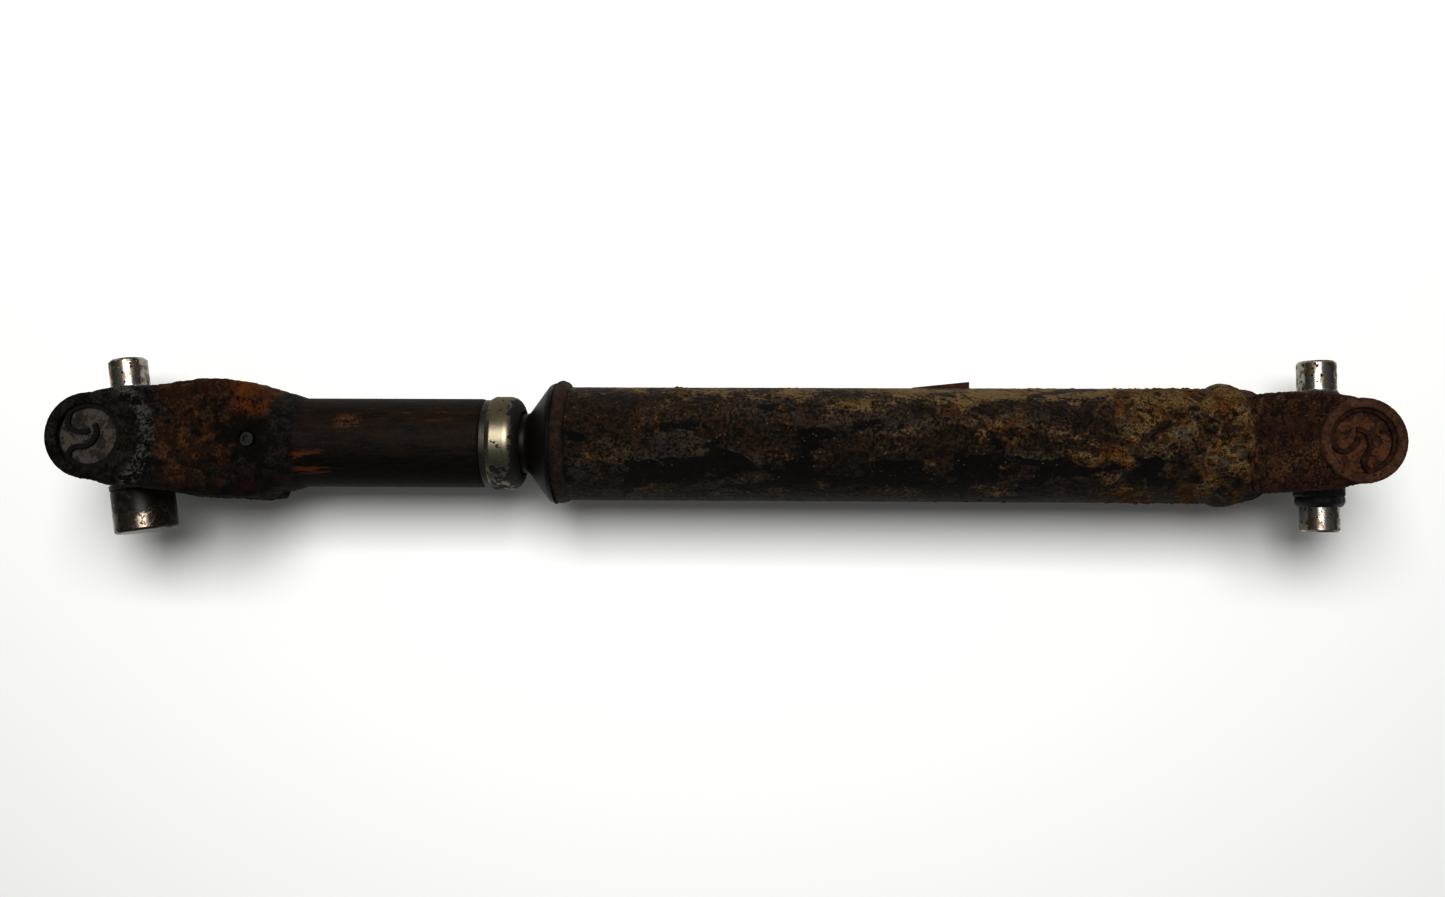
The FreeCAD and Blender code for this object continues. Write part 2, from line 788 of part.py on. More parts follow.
def weld_bead(start, start_r, end, crown_r, root_start):
    """Ring of weld over the joint, with its root in the gap before the tube's end."""
    skin_r = tube_r + fit_gap
    root_end = root_start + weld_gap
    left = V(start, start_r, 0)
    right = V(end, skin_r, 0)
    root = [
        V(root_end - fit_gap, skin_r, 0),
        V(root_end - fit_gap, tube_bore_r + fit_gap, 0),
        V(root_start + fit_gap, tube_bore_r + fit_gap, 0),
        V(root_start + fit_gap, skin_r, 0),
    ]
    edges = [Part.Arc(left, V((start + end) / 2, crown_r, 0), right).toShape()]
    path = [right, *root, left]
    edges += [Part.LineSegment(a, b).toShape() for a, b in zip(path, path[1:])]
    return Part.Face(Part.Wire(edges)).revolve(ORIGIN, X_AXIS, 360).Solids[0]


def weight_sector(start, end):
    """Wedge of space between the two long edges of the balance weight, along X."""
    reach = 2 * tube_od
    edges = [math.radians(a) for a in (weight_edge, weight_back_edge)]
    corners = [(0, 0)] + [(reach * math.cos(a), reach * math.sin(a)) for a in edges]
    face = outline_face(corners, lambda p: V(start, p.x, p.y))
    return face.extrude(V(end - start, 0, 0))


def balance_weight():
    """Curved plate ground to a taper, in slip stations."""
    shell = turned([
        (weight_start, tube_r + fit_gap),
        (weight_start, tube_r + weight_thin),
        (weight_end, tube_r + weight_thick),
        (weight_end, tube_r + fit_gap),
    ])
    return shell.common(weight_sector(weight_start - 1, weight_end + 1)).Solids[0]


def weight_tacks():
    """Spots of weld along the back edge of the balance weight."""
    angle = math.radians(weight_back_edge)
    outward = V(0, math.cos(angle), math.sin(angle)) * (tube_r + weight_thin)
    cutter = rod(tube_r + fit_gap, weight_start - tube_r, weight_end + tube_r).fuse(balance_weight())
    tacks = []
    for station in (weight_start + weight_tack_inset, weight_end - weight_tack_inset):
        spot = Part.makeSphere(weight_tack_r, V(station, 0, 0) + outward)
        tacks.append(spot.cut(cutter).Solids[0])
    return Part.makeCompound(tacks)


# ---- assembly -----------------------------------------------------------------------------
crotch = V(0, 1, -1).normalize()       # the nipples stand between two arms of a cross
capped_arms = [0, 180]                 # angles about X of the arms that carry cups
loose_arm = 90


def joint_kit(prefix, place, swing, clip_turns, sealed_arms):
    """Nodes that both joints share, placed at their end of the shaft."""
    upper_cup, rollers = cup(), needles()
    upper_clip, lower_clip = circlip(clip_turns[0]), circlip(clip_turns[1])
    return {
        prefix + "_cup_upper": place(upper_cup),
        prefix + "_cup_lower": place(flipped(upper_cup)),
        prefix + "_circlip_upper": place(upper_clip),
        prefix + "_circlip_lower": place(flipped(lower_clip)),
        prefix + "_needles_upper": place(rollers),
        prefix + "_needles_lower": place(flipped(rollers)),
        prefix + "_cross": place(swing(cross())),
        prefix + "_cross_seals": place(swing(on_arms(seal_ring(), sealed_arms))),
        prefix + "_cross_seal_retainers": place(swing(on_arms(seal_retainer(), sealed_arms))),
        prefix + "_cross_nipple": place(swing(grease_nipple(crotch, nipple_seat))),
    }


def to_loose_arm(shape):
    """Moves a +Z piece onto the uncaptured arm of the slip cross, as it lies."""
    moved = shape.copy()
    moved.rotate(ORIGIN, X_AXIS, loose_arm)
    return at_slip_end(swung(moved))


def assembly():
    nodes = {}
    nodes.update(joint_kit("tube", at_tube_end, unswung, (232.0, 20.0), capped_arms))
    nodes.update(joint_kit("slip", at_slip_end, swung, (0.0, 160.0), capped_arms + [loose_arm]))
    nodes["loose_cup"] = to_loose_arm(cup())
    nodes["loose_needles"] = to_loose_arm(needles())
    nodes["tube_yoke"] = at_tube_end(tube_yoke())
    nodes["tube"] = at_slip_end(tube())
    nodes["stub_shaft"] = at_slip_end(stub_shaft())
    nodes["weld_bead_stub"] = at_slip_end(
        weld_bead(
            stub_shoulder + fit_gap, stub_shoulder_r - 0.3, stub_bead_end, stub_bead_r, stub_shoulder
        )
    )
    nodes["weld_bead_yoke"] = at_tube_end(
        weld_bead(yoke_bead_start, tube_r + fit_gap, yoke_bead_end, yoke_bead_r, tube_shoulder)
    )
    nodes["balance_weight"] = at_slip_end(balance_weight())
    nodes["weight_tacks"] = at_slip_end(weight_tacks())
    nodes["slip_yoke"] = at_slip_end(slip_yoke())
    nodes["core_plug"] = at_slip_end(core_plug())
    nodes["grease_plug"] = at_slip_end(grease_plug())
    nodes["dust_cap"] = at_slip_end(dust_cap())
    nodes["lock_ring"] = at_slip_end(lock_ring())
    nodes["felt_seal"] = at_slip_end(felt_seal())
    nodes["seal_washer"] = at_slip_end(seal_washer())
    return nodes


os.makedirs("parts", exist_ok=True)
for name, shape in assembly().items():
    if not shape.isValid():
        raise ValueError(name + " is not a valid shape")
    shape.exportStep("parts/" + name + ".step")
    print(name, len(shape.Solids), "solid(s)", round(shape.Volume / 1000, 2), "cm3")
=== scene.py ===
# %% [markdown]
# # A universal joint shaft, weathered
# The shaft comes in as finished solids in their true places.  This lesson keeps those places and gives each
# piece the skin that years of oil, grit and rust leave on it.  Coarse forged and welded pieces are remade with
# finer meshes, and ground or pressed pieces keep their exact solids and get a material.

# %% Load the solids
import bpy
import json
import math
from mathutils import Matrix, Vector

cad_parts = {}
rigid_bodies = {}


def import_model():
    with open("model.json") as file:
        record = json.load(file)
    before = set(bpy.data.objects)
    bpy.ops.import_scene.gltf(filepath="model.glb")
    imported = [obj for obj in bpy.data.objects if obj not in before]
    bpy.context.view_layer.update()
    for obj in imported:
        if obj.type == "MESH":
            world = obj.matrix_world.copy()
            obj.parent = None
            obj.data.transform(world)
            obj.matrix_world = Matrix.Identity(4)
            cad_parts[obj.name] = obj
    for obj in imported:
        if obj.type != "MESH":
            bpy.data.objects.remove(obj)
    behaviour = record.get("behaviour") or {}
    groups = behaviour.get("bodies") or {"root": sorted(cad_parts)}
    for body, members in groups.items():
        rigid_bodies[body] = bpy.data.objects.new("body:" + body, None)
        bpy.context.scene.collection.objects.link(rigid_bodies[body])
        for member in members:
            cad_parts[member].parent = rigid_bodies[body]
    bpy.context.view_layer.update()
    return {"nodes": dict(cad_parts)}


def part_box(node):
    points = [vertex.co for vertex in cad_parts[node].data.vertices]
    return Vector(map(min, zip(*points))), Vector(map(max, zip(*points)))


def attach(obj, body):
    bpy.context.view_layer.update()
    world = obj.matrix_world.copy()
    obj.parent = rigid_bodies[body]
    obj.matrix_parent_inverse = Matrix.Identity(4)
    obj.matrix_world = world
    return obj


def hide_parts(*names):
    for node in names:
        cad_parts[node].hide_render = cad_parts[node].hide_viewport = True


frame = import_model()
nodes = frame["nodes"]

# %% [markdown]
# ## Camera
# The shaft lies on a pale table and is seen from straight above, a little towards one side, with a lens slightly
# wider than normal.  The camera is placed by its position and the direction it looks along, because both are
# plain numbers that can be checked.  "Right" is the shaft's own direction, with the part along the view removed.

# %% Camera
SENSOR_WIDTH = 36.0
LENS = 31.49
CAMERA_PLACE = Vector((-0.24945, -0.03558, 0.56695))
CAMERA_LOOK = Vector((-0.0265, 0.0594, -1.0))
CAMERA_ROLL = math.radians(0.24)
ALONG_SHAFT = Vector((1, 0, 0))


def add_object(name, data):
    made = bpy.data.objects.new(name, data)
    bpy.context.scene.collection.objects.link(made)
    return made


def looking_along(direction, sideways):
    """A turn whose -Z axis points along direction and whose X axis is as near sideways as can be."""
    back = -direction.normalized()
    right = (sideways - back * sideways.dot(back)).normalized()
    return Matrix((right, back.cross(right), back)).transposed().to_4x4()


camera = add_object("camera", bpy.data.cameras.new("camera"))
camera.data.sensor_width = SENSOR_WIDTH
camera.data.lens = LENS
turn = looking_along(CAMERA_LOOK, ALONG_SHAFT) @ Matrix.Rotation(CAMERA_ROLL, 4, "Z")
camera.matrix_world = Matrix.Translation(CAMERA_PLACE) @ turn
bpy.context.scene.camera = camera
print("camera at", tuple(CAMERA_PLACE))

# %% [markdown]
# ## Table and light
# One wide soft lamp hangs above the far side, so the near side of the shaft turns dark and throws a soft shadow.
# A dim sky fills the rest, darker towards the horizon, because an oily black surface shows what is reflected in
# it, and a bright room would turn it grey.  The standard view keeps the pale table nearly white, and a gamma
# below one deepens the darks as a contrasty film does.

# %% Table and light
FLOOR_HEIGHT = -0.044
FLOOR_SIZE = 12.0
FLOOR_COLOUR = (0.86, 0.86, 0.84, 1)
FLOOR_ROUGHNESS = 0.9
SKY_HORIZON = 0.08
SKY_TOP = 0.34
SKY_COLOUR = (1, 1, 1, 1)
LAMP_PLACE = Vector((-0.28, 0.33, 1.10))
LAMP_AIM = Vector((-0.26, 0.0, 0.0))
LAMP_SIZE = 0.62
LAMP_POWER = 16.5
FILM_GAMMA = 0.72

bpy.context.scene.view_settings.view_transform = "Standard"
bpy.context.scene.view_settings.gamma = FILM_GAMMA
bpy.ops.mesh.primitive_plane_add(size=FLOOR_SIZE, location=(0, 0, FLOOR_HEIGHT))
floor = bpy.context.object
floor.name = "floor"
floor_material = bpy.data.materials.new("table_white")
floor_material.use_nodes = True
floor_shader = floor_material.node_tree.nodes["Principled BSDF"]
floor_shader.inputs["Base Color"].default_value = FLOOR_COLOUR
floor_shader.inputs["Roughness"].default_value = FLOOR_ROUGHNESS
floor.data.materials.append(floor_material)

lamp = add_object("lamp", bpy.data.lights.new("lamp", "AREA"))
lamp.data.energy = LAMP_POWER
lamp.data.size = LAMP_SIZE
lamp.matrix_world = Matrix.Translation(LAMP_PLACE) @ looking_along(LAMP_AIM - LAMP_PLACE, ALONG_SHAFT)

print("floor at", FLOOR_HEIGHT, "lamp power", LAMP_POWER)

# %% [markdown]
# ## Writing node trees as sums
# A material or a mesh recipe is a tree of nodes.  Drawing it by hand hides the thought in it, so `Wire` wraps one
# socket and lets plain arithmetic add the Math nodes, and `Bench.node` makes every other node: its settings
# first, then its sockets.  The same two classes serve materials and Geometry Nodes, since both know Math,
# Vector Math, Noise and Map Range.

# %% Wires and bench
class Wire:
    """One socket of a node tree.  Arithmetic on it adds Math nodes."""

    def __init__(self, bench, socket):
        self.bench = bench
        self.socket = socket

    def math(self, operation, *values):
        return self.bench.node("ShaderNodeMath", {"operation": operation}, dict(enumerate((self, *values))))

    def __add__(self, other):
        return self.math("ADD", other)

    __radd__ = __add__

    def __mul__(self, other):
        return self.math("MULTIPLY", other)

    __rmul__ = __mul__

    def __sub__(self, other):
        return self.math("SUBTRACT", other)

    def __rsub__(self, other):
        return self * -1 + other

    def __truediv__(self, other):
        return self.math("DIVIDE", other)

    def __pow__(self, other):
        return self.math("POWER", other)

    def rise(self, low, high):
        """0 below low, 1 above high, and a smooth step between."""
        sockets = {"Value": self, "From Min": low, "From Max": high}
        return self.bench.node("ShaderNodeMapRange", {"interpolation_type": "SMOOTHSTEP"}, sockets)

    def fall(self, low, high):
        return 1 - self.rise(low, high)

    def band(self, low, high, edge):
        """1 between low and high, fading to 0 over edge on each side."""
        return self.rise(low - edge, low + edge) * self.fall(high - edge, high + edge)


def find_socket(sockets, key):
    if isinstance(key, int):
        return sockets[key]
    return next(socket for socket in sockets if socket.name == key and socket.enabled)


class Bench:
    """Makes the nodes of one tree."""

    def __init__(self, tree):
        self.tree = tree

    def node(self, kind, settings=None, sockets=None, out=0):
        made = self.tree.nodes.new(kind)
        for name, value in (settings or {}).items():
            setattr(made, name, value)
        for key, value in (sockets or {}).items():
            socket = find_socket(made.inputs, key)
            if isinstance(value, Wire):
                self.tree.links.new(value.socket, socket)
            else:
                socket.default_value = value
        return Wire(self, find_socket(made.outputs, out)) if made.outputs else None

    def vector(self, operation, *values):
        return self.node("ShaderNodeVectorMath", {"operation": operation}, dict(enumerate(values)))

    def scaled(self, vector, factor):
        return self.node("ShaderNodeVectorMath", {"operation": "SCALE"}, {0: vector, "Scale": factor})

    def split(self, vector):
        made = self.node("ShaderNodeSeparateXYZ", {}, {0: vector}).socket.node
        return [Wire(self, made.outputs[axis]) for axis in range(3)]

    def joined(self, x, y, z):
        return self.node("ShaderNodeCombineXYZ", {}, {0: x, 1: y, 2: z})

    def noise(self, place, size, detail=4.0, rough=0.55, warp=0.0):
        """Noise whose patches are about size across, from 0 to 1 round 0.5."""
        sockets = {"Vector": place, "Scale": 1 / size, "Detail": detail, "Roughness": rough, "Distortion": warp}
        return self.node("ShaderNodeTexNoise", {}, sockets)

    def cells(self, place, size):
        """Distance to the nearest of scattered points, about size apart."""
        return self.node("ShaderNodeTexVoronoi", {}, {"Vector": place, "Scale": 1 / size})

    def mixed(self, mask, under, over):
        """One colour laid over another where the mask is 1."""
        sockets = {"Factor": mask, "A": under, "B": over}
        return self.node("ShaderNodeMix", {"data_type": "RGBA"}, sockets, out="Result")


sky = bpy.data.worlds.new("sky")
sky.use_nodes = True
bench = Bench(sky.node_tree)
height = bench.split(bench.node("ShaderNodeTexCoord", out="Generated"))[2]
glow = height.math("MAXIMUM", 0.0) * (SKY_TOP - SKY_HORIZON) + SKY_HORIZON
sky.node_tree.links.new(glow.socket, sky.node_tree.nodes["Background"].inputs["Strength"])
sky.node_tree.nodes["Background"].inputs["Color"].default_value = SKY_COLOUR
bpy.context.scene.world = sky
print("sky from", SKY_HORIZON, "to", SKY_TOP)

# %% [markdown]
# ## What a finish is
# Each finish is a recipe that reads the place on the object, in millimetres, and returns the values of a shader's
# sockets.  `height` is in millimetres too and goes through a Bump node.  Colours are written as the red, green and
# blue of a screen, from 0 to 255, because that is how a maker reads them off a swatch, and are then made linear.

# %% Finish helper
MM = 0.001
TUBE_CENTRE = 0.0
SLIP_CENTRE = -531.0
DARKEST_CURVED = 10 / 255


def tone(red, green, blue):
    """A screen colour as linear red, green, blue and alpha."""
    parts = [part / 255 for part in (red, green, blue)]
    linear = [((part + 0.055) / 1.055) ** 2.4 if part > DARKEST_CURVED else part / 12.92 for part in parts]
    return (*linear, 1)


def finish(name, recipe, **fixed):
    """A material: recipe(bench, place) gives what varies, and fixed gives the constant sockets."""
    material = bpy.data.materials.new(name)
    material.use_nodes = True
    tree = material.node_tree
    tree.nodes.clear()
    bench = Bench(tree)
    place = bench.scaled(bench.node("ShaderNodeTexCoord", out="Object"), 1 / MM)
    sockets = {key.replace("_", " "): value for key, value in fixed.items()}
    for key, value in recipe(bench, place).items():
        if key == "height":
            value = bench.node("ShaderNodeBump", {}, {"Strength": 1.0, "Distance": MM, "Height": value})
            key = "Normal"
        sockets[key] = value
    shader = bench.node("ShaderNodeBsdfPrincipled", {}, sockets)
    bench.node("ShaderNodeOutputMaterial", {}, {"Surface": shader})
    return material


print("finish helper ready")

# %% [markdown]
# ## The tube's finish
# The tube was painted black, then soaked with road oil and grown over with ochre crust, which is heaviest near
# the fork's weld.  The recipe lays these over each other: brown-black film, blue-grey patches where the film is
# thin, dark oil patches, and crust last.  Light and shade are painted in as well: the +Y upper side, towards the
# lamp, gets more tan haze, ochre dust and crust as painted light, and a band on the -Y side, away from the lamp,
# is pushed towards oil black as painted shade.  The patches are stretched along the tube by squeezing the place
# before the noise reads it.

# %% Tube finish
FILM = tone(56, 43, 32)
FILM_DARK = tone(22, 17, 13)
BLUE_GREY = tone(60, 60, 58)
SLATE = tone(84, 84, 74)
# Oil black, also used as painted shade on the -Y sides of the tube and sleeve.
OIL_AND_PAINTED_SHADE = tone(13, 11, 8)
OCHRE = tone(138, 114, 74)
SOFT_TAN = tone(90, 73, 54)
OCHRE_ORANGE = tone(116, 80, 40)
RED_BROWN = tone(66, 38, 24)
TUBE_RADIUS = 25.4


def crust_cover(bench, place):
    """How much crust lies on the tube: none on the left, plenty near the fork's weld, a little more on the +Y upper
    side as painted light.
    """
    along, across, up = bench.split(place)
    patches = bench.noise(place, 19, 6, 0.66, 0.8)
    # Painted light: the +Y upper side, towards the lamp, gets a little more crust; the rise towards the weld is
    # real.
    weld_lean_and_painted_light = along.rise(-135, -50) * 0.17 + across.rise(4, 24) * up.rise(-12, 4) * 0.05
    return (patches + weld_lean_and_painted_light).rise(0.58, 0.71)


def tube_recipe(bench, place):
    along, across, up = bench.split(place)
    long_place = bench.vector("MULTIPLY", place, (0.5, 1.0, 1.0))
    broad = bench.noise(long_place, 26, 4, 0.6, 0.3)
    medium = bench.noise(place, 6, 6, 0.7, 0.2)
    fine = bench.noise(place, 1.5, 6, 0.75)
    grit = bench.noise(place, 0.6, 3, 0.6)
    blend = medium * 0.45 + fine * 0.55
    colour = bench.mixed(blend.rise(0.43, 0.57), FILM_DARK, FILM)
    colour = bench.mixed(broad.rise(0.50, 0.58) * blend.rise(0.42, 0.56) * 0.65, colour, BLUE_GREY)
    colour = bench.mixed(blend.rise(0.54, 0.60) * 0.7, colour, RED_BROWN)
    drift = bench.noise(long_place, 11, 4, 0.6, 0.4)
    facing = up.rise(-12, 4)
    # Painted light: the +Y upper side, towards the lamp, gets more tan haze and ochre dust on top of the real
    # patches.
    haze_and_painted_light = (drift * 0.5 + broad * 0.5 + across.rise(4, 24) * facing * 0.06).rise(0.46, 0.58)
    haze_and_painted_light = haze_and_painted_light * fine.rise(0.44, 0.60)
    colour = bench.mixed(haze_and_painted_light * 0.6, colour, SOFT_TAN)
    settling_and_painted_light = along.rise(-340, -60) * 0.06 + across.rise(10, 24) * facing * 0.12
    dust_and_painted_light = (settling_and_painted_light + drift * 0.5 + blend * 0.5).rise(0.60, 0.69)
    colour = bench.mixed(dust_and_painted_light * 0.65, colour, OCHRE)
    pale = along.rise(-120, -80) * bench.noise(place, 12, 4, 0.6, 0.6).rise(0.54, 0.62)
    # Painted shade: a band on the -Y side, away from the lamp, is pushed towards oil black along with real oil
    # patches.
    under = across.band(-20, -7, 3) * 0.15
    oil_and_painted_shade = (bench.noise(long_place, 13, 4, 0.55, 0.2) + under).rise(0.585, 0.62)
    colour = bench.mixed(oil_and_painted_shade * 0.9, colour, OIL_AND_PAINTED_SHADE)
    cover = crust_cover(bench, place) * (medium * 0.75 + fine * 0.25).rise(0.38, 0.50)
    crust = bench.mixed(bench.noise(place, 8, 4, 0.65).rise(0.44, 0.60), OCHRE, OCHRE_ORANGE)
    crust = bench.mixed(grit.rise(0.46, 0.60) * 0.8, crust, RED_BROWN)
    crust = bench.mixed(pale * 0.75, crust, SLATE)
    crust = bench.mixed(medium.rise(0.54, 0.60) * 0.8, crust, FILM_DARK)
    colour = bench.mixed(cover, colour, crust)
    flecks = bench.cells(place, 2.2).fall(0.10, 0.22) * medium.rise(0.48, 0.58)
    colour = bench.mixed(flecks * 0.6, colour, OCHRE)
    return {
        "Base Color": colour,
        "Roughness": 0.46 + cover * 0.4 + fine * 0.2 - oil_and_painted_shade * 0.1,
        "height": fine * 1.0 + grit * 0.35 + medium * 1.4 + cover * medium * 1.2,
    }


tube_finish = finish("tube_oil_and_crust", tube_recipe, Specular_IOR_Level=0.12)
print("made", tube_finish.name)

# %% [markdown]
# ## The slip fork's finish
# Four things happened to this forging.  Its skin went black with grease, the open joint's parts rubbed a bright
# arc into the face round the ear, dry rust spread over the middle of the arm, and thin orange oil ran into the
# corner behind the hump and along the sleeve.  Each one is a mask measured from the ear's axis or along the
# shaft, broken up by noise, so its edge wanders as real wear does.  Light and shade are painted in as well: the
# -Y side of the arm and sleeve, away from the lamp, is painted near black as shade, the patch round the plug is
# darkened as painted shade of its recess, and the sleeve's +Y side gets lighter streaks and painted glints.

# %% Slip fork finish
# Grease black, also used as painted shade on the fork's -Y side and round the plug.
GREASE_AND_PAINTED_SHADE = tone(15, 12, 10)
GREASE_GREY = tone(52, 46, 41)
SCUFF_SILVER = tone(118, 114, 108)
ARM_RUST = tone(54, 33, 20)
# Light rust on the arm, also the colour of the painted glints on the sleeve.
LIGHT_RUST_AND_GLINT = tone(96, 66, 38)
OIL_ORANGE = tone(106, 62, 26)
PURPLE_BROWN = tone(39, 27, 17)
DRIED_RED = tone(52, 22, 18)
PLUG_STATION = 61.0
ARM_FROM, ARM_TO = 29, 60
SLEEVE_FROM, SLEEVE_FULL = 76, 80
SCUFF_INNER, SCUFF_OUTER = 22.5, 28.0


def slip_fork_recipe(bench, place):
    along, across, up = bench.split(place)
    station = along - SLIP_CENTRE
    ear_distance = (station * station + across * across) ** 0.5
    broad = bench.noise(place, 13, 4, 0.6, 0.5)
    medium = bench.noise(place, 5, 6, 0.68, 0.3)
    fine = bench.noise(place, 1.3, 6, 0.75)
    streaks = bench.noise(bench.vector("MULTIPLY", place, (0.22, 1.3, 1.3)), 3, 5, 0.65)
    blend = medium * 0.5 + fine * 0.5
    colour = bench.mixed(blend.rise(0.44, 0.59), GREASE_AND_PAINTED_SHADE, GREASE_GREY)
    rust = (broad * 0.7 + blend * 0.3 + station.fall(36, 50) * 0.05).rise(0.44, 0.54)
    rust = station.band(ARM_FROM, ARM_TO, 4) * rust
    rust_tone = bench.mixed(blend.rise(0.48, 0.60), ARM_RUST, LIGHT_RUST_AND_GLINT)
    colour = bench.mixed(rust * 0.8, colour, rust_tone)
    # Grease smudges, plus painted shade of the plug's recess darkening the skin round the plug.
    plug_distance = ((station - PLUG_STATION) * (station - PLUG_STATION) + across * across) ** 0.5
    smudge_and_plug_shade = (bench.noise(place, 8, 4, 0.6) + plug_distance.fall(4, 14) * 0.24).rise(0.54, 0.62)
    smudge_and_plug_shade = smudge_and_plug_shade * station.band(36, 68, 5)
    colour = bench.mixed(smudge_and_plug_shade * 0.85, colour, GREASE_AND_PAINTED_SHADE)
    scuff = ear_distance.band(SCUFF_INNER, SCUFF_OUTER, 1.5) * (fine * 0.55 + medium * 0.45).rise(0.49, 0.56)
    scuff = scuff * (up * up).rise(1200, 1500)
    colour = bench.mixed(scuff * 0.6, colour, SCUFF_SILVER)
    hump_oil = station.band(55, 67, 3) * across.rise(8, 14) * blend.rise(0.40, 0.52)
    red_corner = station.band(58, 78, 4) * across.fall(-18, -8) * medium.rise(0.42, 0.56)
    # Painted shade: the -Y side, away from the lamp, is mixed towards black, except where the ear is scuffed.
    colour = bench.mixed(across.fall(-24, -12) * (1 - scuff) * 0.7, colour, GREASE_AND_PAINTED_SHADE)
    colour = bench.mixed(hump_oil * 0.9, colour, OIL_ORANGE)
    colour = bench.mixed(red_corner * 0.7, colour, DRIED_RED)
    sleeve = station.rise(SLEEVE_FROM, SLEEVE_FULL)
    # Streaky stain on the sleeve, with more of the lighter brown towards the +Y side as painted light.
    sleeve_stain_and_painted_light = (streaks * 0.6 + fine * 0.4 + across.rise(-18, 12) * 0.07).rise(0.44, 0.62)
    colour = bench.mixed(sleeve, colour, bench.mixed(sleeve_stain_and_painted_light, GREASE_AND_PAINTED_SHADE, PURPLE_BROWN))
    run = sleeve * across.band(-15, -5, 2) * (streaks - station.rise(84, 112) * 0.30).rise(0.44, 0.54)
    # Painted highlight: glints along the sleeve's +Y side and one bright spot, in light rust orange.
    spot = station.band(97, 107, 3) * across.band(6, 11, 2) * (streaks * 0.5 + fine * 0.5).rise(0.44, 0.54)
    glint = sleeve * (across.rise(4, 12) * streaks.rise(0.60, 0.68) * 0.4 + spot * 0.8)
    # Painted shade: the sleeve's -Y side, away from the lamp, is mixed towards black.
    colour = bench.mixed(sleeve * across.fall(-16, -2) * 0.9, colour, OIL_AND_PAINTED_SHADE)
    colour = bench.mixed(run * 0.6, colour, OIL_ORANGE)
    colour = bench.mixed(glint, colour, LIGHT_RUST_AND_GLINT)
    return {
        "Base Color": colour,
        "Metallic": scuff * 0.5,
        "Roughness": 0.48 + fine * 0.25 + rust * 0.2 - scuff * 0.12 - sleeve * 0.05 - run * 0.1,
        "height": (fine * 1.0 + medium * 1.8) * (1 - sleeve * 0.8),
    }


slip_fork_finish = finish("slip_fork_grease_and_rust", slip_fork_recipe, Specular_IOR_Level=0.11)
print("made", slip_fork_finish.name)

# %% [markdown]
# ## The tube fork's finish
# This fork stayed dry and rusted all over.  Its colour is a deep red-brown with lighter grains and black pits,
# plus the tube's own ochre crust where the two meet.  The pits use cell noise, which gives small round holes
# where fractal noise would only give clouds.

# %% Tube fork finish
DEEP_RUST = tone(28, 16, 10)
RUST_GRAIN = tone(110, 78, 50)
PIT_BLACK = tone(12, 9, 7)
EAR_TAN = tone(88, 64, 46)


def tube_fork_recipe(bench, place):
    along, across, up = bench.split(place)
    ear_distance = (along * along + across * across) ** 0.5
    broad = bench.noise(place, 13, 4, 0.6, 0.4)
    medium = bench.noise(place, 4, 6, 0.68, 0.3)
    fine = bench.noise(place, 1.1, 6, 0.74)
    pits = bench.cells(place, 3.4).fall(0.12, 0.3) * medium.rise(0.48, 0.58)
    colour = bench.mixed((medium * 0.6 + fine * 0.4).rise(0.43, 0.57), DEEP_RUST, RED_BROWN)
    colour = bench.mixed((fine * 0.65 + broad * 0.35).rise(0.52, 0.60) * 0.75, colour, RUST_GRAIN)
    colour = bench.mixed(pits * 0.85, colour, PIT_BLACK)
    cover = along.fall(-46, -26) * (medium * 0.6 + broad * 0.4).rise(0.42, 0.58)
    colour = bench.mixed(cover * 0.7, colour, bench.mixed(fine.rise(0.45, 0.6), RUST_GRAIN, OCHRE))
    ear = ear_distance.fall(17.2, 17.9) * (up * up).rise(1650, 1750)
    colour = bench.mixed(ear * 0.65, colour, bench.mixed(medium.rise(0.35, 0.65), RED_BROWN, EAR_TAN))
    return {
        "Base Color": colour,
        "Roughness": 0.62 + fine * 0.3 - pits * 0.15,
        "height": (fine * 1.0 + medium * 1.8) * (1 - ear * 0.7) - pits * 0.8,
    }


tube_fork_finish = finish("tube_fork_rust", tube_fork_recipe, Specular_IOR_Level=0.22)
print("made", tube_fork_finish.name)

# %% [markdown]
# ## Bright steel under oil
# The ground trunnions are the only clean metal left.  A metal's colour is all reflection, so the finish is mostly
# a low roughness with fine grinding rings, and the story is in what covers it: brown varnish, black specks, and
# thick dark grease on the rough middle of the cross, which is told from the ground pins by its distance from the
# cross's centre.

# %% Cross finishes
BRIGHT_STEEL = tone(158, 154, 148)
VARNISH = tone(104, 84, 58)
GROUND_FROM = 25.0


def cross_recipe(centre):
    def recipe(bench, place):
        ends = {0: place, 1: (centre, 0, 0)}
        reach = bench.node("ShaderNodeVectorMath", {"operation": "DISTANCE"}, ends, out="Value")
        medium = bench.noise(place, 4, 6, 0.65, 0.4)
        fine = bench.noise(place, 1.0, 5, 0.7)
        ground = (reach + medium * 4 - 2).rise(GROUND_FROM, GROUND_FROM + 1.5)
        specks = bench.cells(place, 2.4).fall(0.20, 0.28) * medium.rise(0.45, 0.49)
        stain = medium.rise(0.46, 0.60) * 0.75
        rough_part = bench.mixed(fine.rise(0.4, 0.6), PIT_BLACK, GREASE_GREY)
        pin = bench.mixed(stain, BRIGHT_STEEL, VARNISH)
        pin = bench.mixed(specks, pin, PIT_BLACK)
        rings = (reach * 9).math("SINE") * 0.004
        return {
            "Base Color": bench.mixed(ground, rough_part, pin),
            "Metallic": ground * (1 - specks) * 0.95 + 0.05,
            "Roughness": 0.5 - ground * 0.32 + stain * 0.3 + specks * 0.3 + fine * 0.06,
            "height": fine * 0.3 * (1 - ground) + rings + specks * 0.12,
        }

    return recipe


